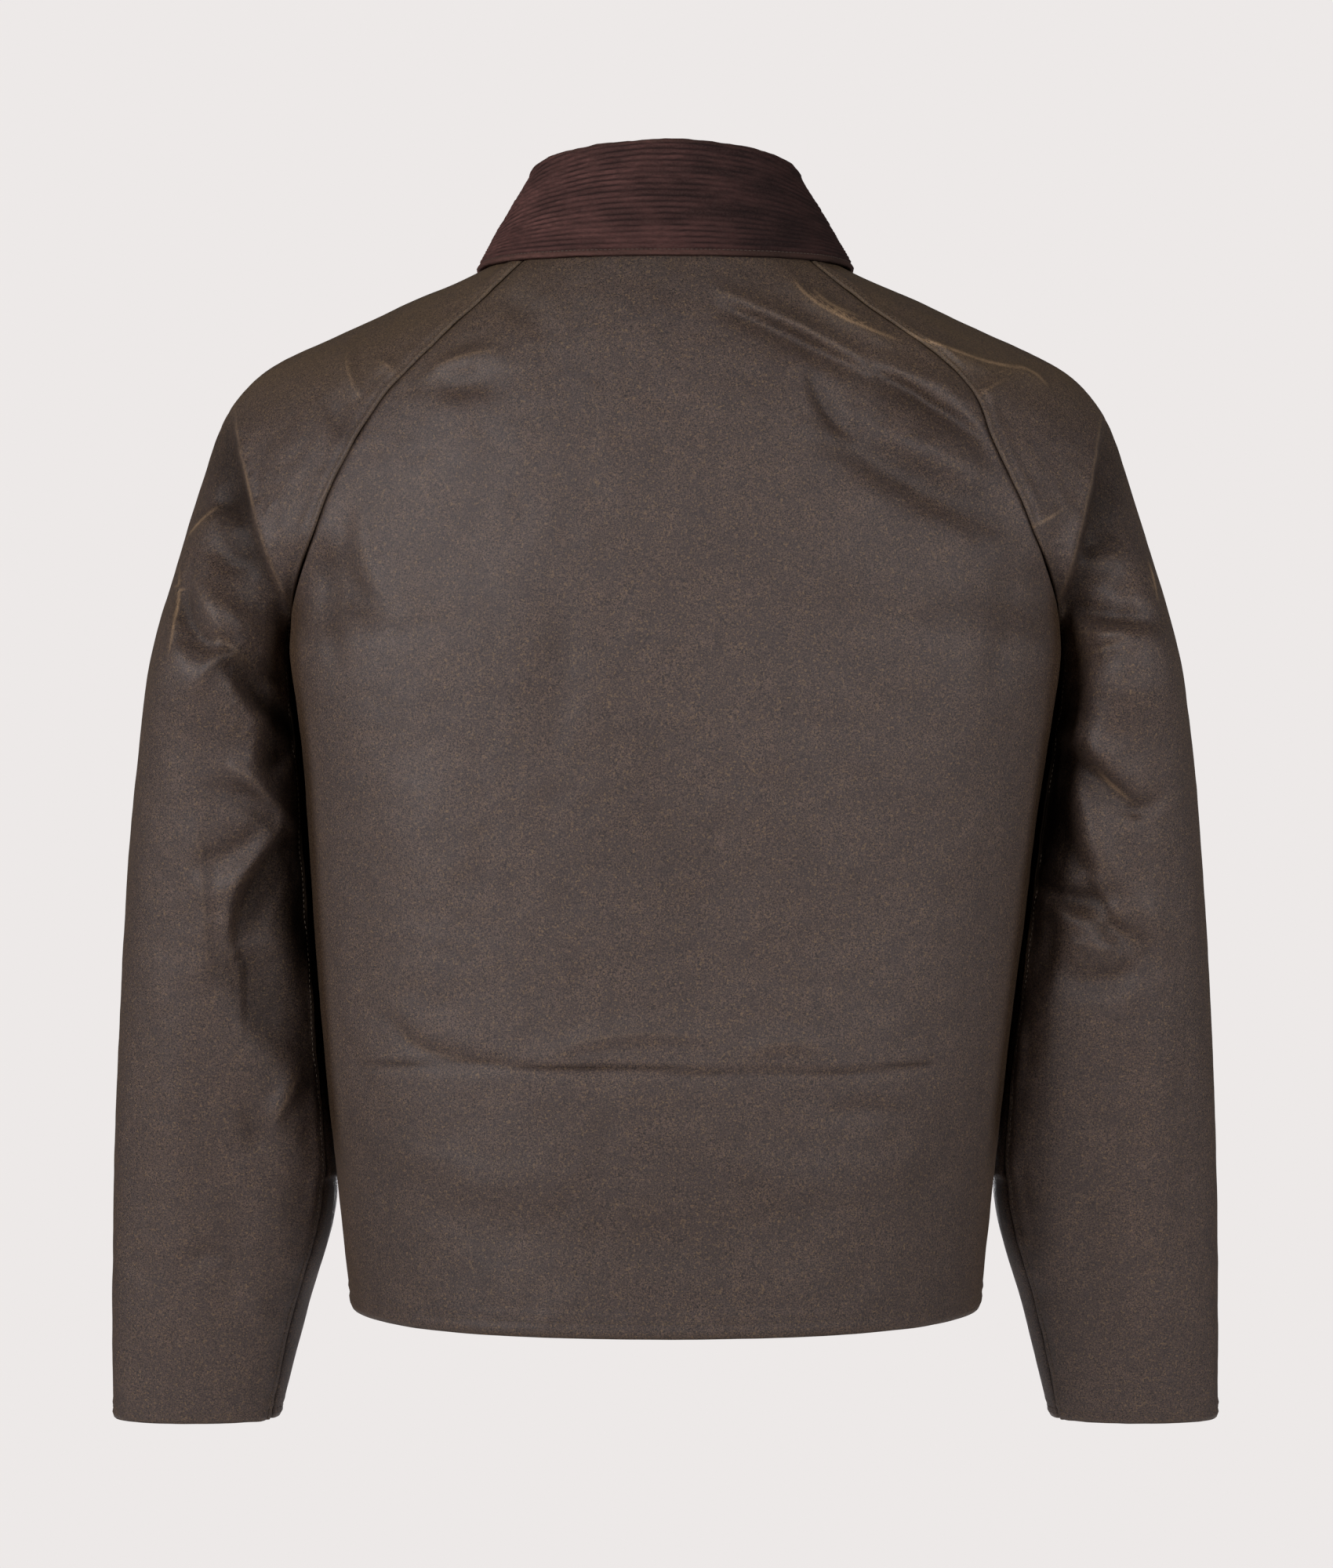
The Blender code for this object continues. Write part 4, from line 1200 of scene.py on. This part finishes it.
def make_top_sleeve(hand):
    name = side_name(hand)
    levels = levels_between(0, CUFF_LEVEL)
    points = sheet_points(levels, lambda level: sleeve_curve(level, hand), SLEEVE_COLUMNS)
    points = mirror_side(trim_seams(soften_rows(points)), hand, turned=hand > 0)
    rear, fore = (-1, 0) if hand > 0 else (0, -1)
    rear_away = edge_distance(points, rear)
    fore_away = edge_distance(points, fore)
    cuff_away = row_distance(points, -1)
    surface = Surface(points)
    surface.height += lap_height(rear_away) + lap_height(fore_away) + hem_height(cuff_away, CUFF_STITCH)
    pucker = along_wave(points, 5.0, 9.0 + hand)
    surface.height += 0.3 * pucker * hump(cuff_away - CUFF_STITCH, PUCKER_WIDTH)
    surface.height += 0.25 * pucker * hump(rear_away - STITCH_SET, 5.0)
    surface.height += 1.3 * along_wave(points, 15.0, 5.0) * hump(rear_away - 9.0, 9.0)
    # golden wear along the cuff and seams, and painted golden light over the shoulder and turned-away edges
    surface.rub += (edge_rub(cuff_away) + edge_rub(rear_away, 1.6) + edge_rub(fore_away, 1.6)
                    + painted_shoulder_and_edge_light(points, sheet_normals(points)))
    surface.shade += 0.5 * seam_shade(rear_away, 0.6) + 0.5 * seam_shade(fore_away, 0.6)
    surface.shade += fold_shade(points, sheet_normals(points))
    tables = [(SHOULDER_FOLDS[hand], 1)] + sleeve_tables(hand)
    points, normals = finish_sheet(points, tables, surface, np.minimum(rear_away, fore_away))
    rows = [line_at(points, normals, STITCH_SET, rear), line_at(points, normals, STITCH_SET, fore),
            line_across(points, normals, CUFF_STITCH, -1)]
    stitching = stitch_row("sleeve_stitching_" + name, rows, COAT_THREAD)
    piece = cloth_piece("sleeve_top_cloth_" + name, points, COAT_WALL, COTTON,
                        surface.masks())
    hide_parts("sleeve_top_" + name)


def make_under_sleeve(hand):
    name = side_name(hand)
    levels = np.linspace(PIT_LEVEL - 1, CUFF_LEVEL, (CUFF_LEVEL - PIT_LEVEL + 1) * UNDER_ROWS + 1)
    points = sheet_points(levels, lambda level: under_curve(level, hand), UNDER_COLUMNS)
    points = mirror_side(trim_seams(points), hand, turned=hand < 0)
    cuff_away = row_distance(points, -1)
    seams = (edge_distance(points, 0), edge_distance(points, -1))
    surface = Surface(points)
    surface.height += under_height(seams[0]) + under_height(seams[1]) + hem_height(cuff_away, CUFF_STITCH)
    surface.rub += edge_rub(cuff_away)
    surface.shade += seam_shade(seams[0]) + seam_shade(seams[1])
    surface.shade += fold_shade(points, sheet_normals(points))
    points, normals = finish_sheet(points, sleeve_tables(hand), surface, np.minimum(*seams))
    cuff = stitch_row("under_sleeve_stitching_" + name, [line_across(points, normals, CUFF_STITCH, -1)],
                      COAT_THREAD)
    piece = cloth_piece("sleeve_under_cloth_" + name, points, COAT_WALL, COTTON,
                        surface.masks())
    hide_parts("sleeve_under_" + name)


# ---------------------------------------------------------------- collar
WALE_PITCH = 3.6
WALE_DEPTH = 0.75
WALE_DROP = 24.0         # how much lower the wales run at the sides than the free edge does
COLLAR_COLUMNS = 176
COLLAR_STEP = 0.54
COLLAR_EDGE = 3.2
COLLAR_SET_IN = 1.2      # the grooves' depth under the solid's face


def upper_point(level, angle):
    return upper_curve(level, angle, angle)[0]


def upper_normal(level, angle):
    down = upper_point(level + 0.2, angle) - upper_point(max(level - 0.2, 0), angle)
    across = upper_point(level, angle + 1) - upper_point(level, angle - 1)
    normal = np.cross(across, down)
    return normal / np.linalg.norm(normal)


def collar_profile(angle):
    """The corduroy face from the free edge up the fall, over the roll and down the stand."""
    base = upper_point(0, angle)
    across = upper_point(0, angle + 1) - upper_point(0, angle - 1)
    out = np.array([across[1], -across[0], 0.0])
    out /= -np.linalg.norm(out)
    up = np.array([0.0, 0.0, 1.0])
    stand = float(COLLAR.at("stand", angle))
    leaf_level = float(COLLAR.at("leaf_level", angle))
    leaf_angle = float(COLLAR.at("leaf_angle", angle))
    lift = upper_normal(leaf_level, leaf_angle)
    leaf = upper_point(leaf_level, leaf_angle) + LEAF_LIFT * lift
    foot = base + up * 2 * SEAM_GAP - out * COLLAR_WALL
    centre = base + up * (stand - ROLL_RADIUS) - out * ROLL_RADIUS
    fall_top = centre + out * ROLL_RADIUS
    fall = leaf - fall_top
    bulge = np.cross(np.cross(fall, out), fall)
    bulge /= np.linalg.norm(bulge)
    points = [leaf - fall * t + bulge * 0.4 * math.sin(math.pi * t) for t in np.linspace(0, 1, 24)]
    for turn in np.radians(np.linspace(0, 180, 25)[1:]):
        points.append(centre + ROLL_RADIUS * (up * math.sin(turn) + out * math.cos(turn)))
    stand_top = centre - out * ROLL_RADIUS
    points += [stand_top + (foot - stand_top) * t for t in np.linspace(0, 1, 12)[1:]]
    return np.array(points)


def collar_points(angles):
    """Rows of points from the foot of the stand to the free edge, and their normals."""
    profiles = [mirror_side(collar_profile(abs(angle)), 1 if angle > 0 else -1) for angle in angles]
    longest = max(np.linalg.norm(np.diff(profile, axis=0), axis=1).sum() for profile in profiles)
    count = int(longest / COLLAR_STEP)
    points = []
    for profile in profiles:
        lengths = run_lengths(profile)
        points.append(points_along(np.linspace(0, lengths[-1], count), lengths, profile))
    points = np.array(points).transpose(1, 0, 2)[::-1]
    normals = sheet_normals(points)
    if normals[-3, COLLAR_COLUMNS // 2, 1] < 0:
        points = points[:, ::-1]
        normals = sheet_normals(points)
    return points, normals


def make_collar():
    angles = np.linspace(-COLLAR_END, COLLAR_END, COLLAR_COLUMNS + 1)
    points, normals = collar_points(angles)
    edge_away = row_distance(points, -1)
    end_away = np.minimum(edge_distance(points, 0), edge_distance(points, -1))
    wander = 0.6 * along_wave(points, 60.0, 21.0) + 0.3 * along_wave(points, 5.0, 25.0)
    turn = np.clip(np.abs(angles) / 105, 0, 1)
    wander = wander + WALE_DROP * turn ** 1.8 * smooth_step((edge_away - COLLAR_EDGE) / 22)
    phase = np.abs(np.cos(np.pi * (edge_away - COLLAR_EDGE + wander) / WALE_PITCH))
    plain = 1 - smooth_step((edge_away - COLLAR_EDGE + 0.4) / 0.8)
    plain = np.maximum(plain, 1 - smooth_step((end_away - COLLAR_EDGE + 0.4) / 0.8))
    wale = WALE_DEPTH * (1 - phase ** 3) * (1 - plain)
    wale *= 1 + 0.45 * along_wave(points, 7.0, 31.0)
    height = wale - WALE_DEPTH - COLLAR_SET_IN + plain * 0.5 + 0.8 * crumple(points, 46.0, 22)
    height -= 0.6 * hump(edge_away - COLLAR_EDGE, 0.7)
    height += 0.25 * along_wave(points, 4.0, 12.0)
    pressed = smooth_step((along_wave(points, 15.0, 27.0) + 0.25) / 0.5)
    groove = phase ** 6 * (0.35 + 0.5 * pressed) * (1 - plain)
    up = smooth_step((normals[..., 2] - 0.3) / 0.5)
    # painted golden light on the faces that turn upwards, and wear of the pile along the plain edge band
    rub = 0.14 * up + 0.16 * plain
    points = points + normals * height[..., None]
    normals = sheet_normals(points)
    lines = [line_across(points, normals, COLLAR_EDGE, -1)]
    edge = stitch_row("collar_stitching", lines, COLLAR_THREAD, pitch=2.6, width=0.45)
    piece = cloth_piece("collar_cord", points, COLLAR_WALL, CORD,
                        {"rub": rub, "groove": groove})
    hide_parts("collar")


# ---------------------------------------------------------------- zip
TOOTH_PITCH = 2.6
TOOTH_REACH = 3.6
TOOTH_SIZE = (5.0, 1.35, 2.0)
TOOTH_LIFT = 0.25        # off the tapes' outer face
TEETH_START = 9.0        # below the slider's level
TAPE_WALL = 1.0
SLIDER_LEVEL = 1.3
TAPE_COLUMNS = 8


def front_point(level, x):
    angle = centre_angle(level, "front", x)
    blend = blend_at(level)
    if blend >= 1:
        point = torso_curve(level, 1, angle, angle)[0]
    elif blend <= 0:
        point = upper_point(level, angle)
    else:
        point = upper_point(level, angle) * (1 - blend) + torso_curve(level, 1, angle, angle)[0] * blend
    return np.array([x, point[1], point[2]])


def zip_axes(level):
    """A point of the tapes' outer face on the centre plane, and up and out directions there."""
    up = front_point(level - 0.2, ZIP_GAP / 2) - front_point(level + 0.2, ZIP_GAP / 2)
    up[0] = 0
    up /= np.linalg.norm(up)
    out = np.array([0, -up[2], up[1]])
    point = front_point(level, ZIP_GAP / 2) - out * (COAT_WALL + TAPE_SETBACK)
    point[0] = 0
    return point, up, out


def make_zip_tape(hand):
    levels = np.linspace(ZIP_TOP_LEVEL, HEM_LEVEL - 0.2, 180)
    across = np.linspace(SEAM_GAP / 2, TAPE_WIDTH, TAPE_COLUMNS)
    points = np.array([[zip_axes(level)[0] + (x, 0, 0) for x in across] for level in levels])
    points = mirror_side(points, hand, turned=hand < 0)
    name = side_name(hand)
    piece = cloth_piece("zip_tape_cloth_" + name, points, TAPE_WALL, TAPE, {})
    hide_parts("zip_tape_" + name)


def make_zip_teeth():
    """Meshed teeth down from the slider, each a small bevelled block."""
    levels = np.linspace(SLIDER_LEVEL, HEM_LEVEL - 0.25, 900)
    axes = [zip_axes(level) for level in levels]
    line = np.array([point for point, up, out in axes])
    lengths = run_lengths(line)
    shape = bmesh.new()
    for count, place in enumerate(np.arange(TEETH_START, lengths[-1], TOOTH_PITCH / 2)):
        near = min(int(np.searchsorted(lengths, place)), len(levels) - 1)
        up, out = (Vector(axes[near][k]) for k in (1, 2))
        side = 1 if count % 2 else -1
        point = Vector(points_along(place, lengths, line))
        middle = point + Vector((side * (TOOTH_REACH - TOOTH_SIZE[0] / 2 + 0.6), 0, 0)) + out * TOOTH_LIFT
        turn = Matrix((Vector((1, 0, 0)), up, out)).transposed().to_4x4()
        place_mm = Vector(to_frame(np.array(middle)))
        size = Matrix.Diagonal((*(value * MM for value in TOOTH_SIZE), 1))
        bmesh.ops.create_cube(shape, size=1, matrix=Matrix.Translation(place_mm) @ turn @ size)
    bmesh.ops.bevel(shape, geom=shape.edges[:], offset=0.25 * MM, segments=1, affect="EDGES",
                    profile=0.5, material=-1)
    add_piece("zip_teeth", finished_mesh("zip_teeth", shape), BRASS)


def finish_hardware():
    for name in ("zip_slider", "zip_pull"):
        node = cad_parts[name]
        for slot in node.material_slots:
            slot.material = BRASS


# ---------------------------------------------------------------- studio
FLOOR_DROP = 1.30
PALE = (0.847, 0.815, 0.807)
CAMERA_DISTANCE = 2.0
CAMERA_DROP = 0.320
BACK_OF_MIDDLE = (NECK_BACK_Y - COAT_WALL) * MM


def make_floor():
    shape = bmesh.new()
    bmesh.ops.create_circle(shape, cap_ends=True, segments=96, radius=2.0,
                            matrix=Matrix.Translation((0, -BACK_OF_MIDDLE, -FLOOR_DROP)))
    mesh = finished_mesh("studio_floor", shape)
    floor = bpy.data.objects.new("studio_floor", mesh)
    bpy.context.scene.collection.objects.link(floor)
    fixed = {"Base Color": (*PALE, 1), "Roughness": 0.9}
    mesh.materials.append(new_material("studio_floor_paint", fixed)[0])


def softbox(name, place, width, height, power, aim=-CAMERA_DROP):
    """A soft light in metres and watts, turned to the jacket's middle at the aim's height."""
    light = bpy.data.lights.new(name, "AREA")
    light.shape = "RECTANGLE"
    light.size = width
    light.size_y = height
    light.energy = power
    light.color = (0.97, 0.96, 1.0)
    lamp = bpy.data.objects.new(name, light)
    lamp.location = place
    ahead = Vector((0, -BACK_OF_MIDDLE, aim)) - Vector(place)
    lamp.rotation_euler = ahead.to_track_quat("-Z", "Y").to_euler()
    bpy.context.scene.collection.objects.link(lamp)


def make_studio():
    make_floor()
    softbox("left_softbox", (1.60, 1.90, 0.42), 0.9, 0.9, 54.5, aim=-0.15)
    softbox("right_softbox", (-1.45, 1.95, 0.28), 0.9, 0.9, 31.5, aim=-0.15)
    softbox("front_softbox", (0, -2.5, -0.35), 0.5, 1.0, 40)
    softbox("left_side_softbox", (2.6, 0.0, -0.1), 0.8, 1.4, 8)
    softbox("right_side_softbox", (-2.6, 0.0, -0.1), 0.8, 1.4, 7)
    world = bpy.data.worlds.new("studio")
    world.use_nodes = True
    nodes = Nodes(world.node_tree)
    light = world.node_tree.nodes["Background"]
    nodes.set(light, "Color", (1.0, 0.98, 0.96, 1))
    nodes.set(light, "Strength", 0.07)
    seen = nodes.add("ShaderNodeBackground", {"Color": (*PALE, 1), "Strength": 1.0})
    camera_ray = nodes.add("ShaderNodeLightPath").outputs["Is Camera Ray"]
    choose = nodes.add("ShaderNodeMixShader", {0: camera_ray, 1: light.outputs[0], 2: seen.outputs[0]})
    nodes.set(world.node_tree.nodes["World Output"], "Surface", choose.outputs[0])
    bpy.context.scene.world = world
    bpy.context.scene.view_settings.view_transform = "Standard"


def make_camera():
    data = bpy.data.cameras.new("camera")
    data.sensor_width = 36.0
    data.lens = 77.4
    camera = bpy.data.objects.new("camera", data)
    camera.location = (-0.0007, CAMERA_DISTANCE - BACK_OF_MIDDLE, -CAMERA_DROP)
    camera.rotation_euler = (math.radians(90), 0, math.radians(180))
    bpy.context.scene.collection.objects.link(camera)
    bpy.context.scene.camera = camera


make_camera()
make_back()
make_collar()
for hand in (1, -1):
    make_front(hand)
    make_top_sleeve(hand)
    make_under_sleeve(hand)
    make_zip_tape(hand)
make_zip_teeth()
finish_hardware()
make_studio()
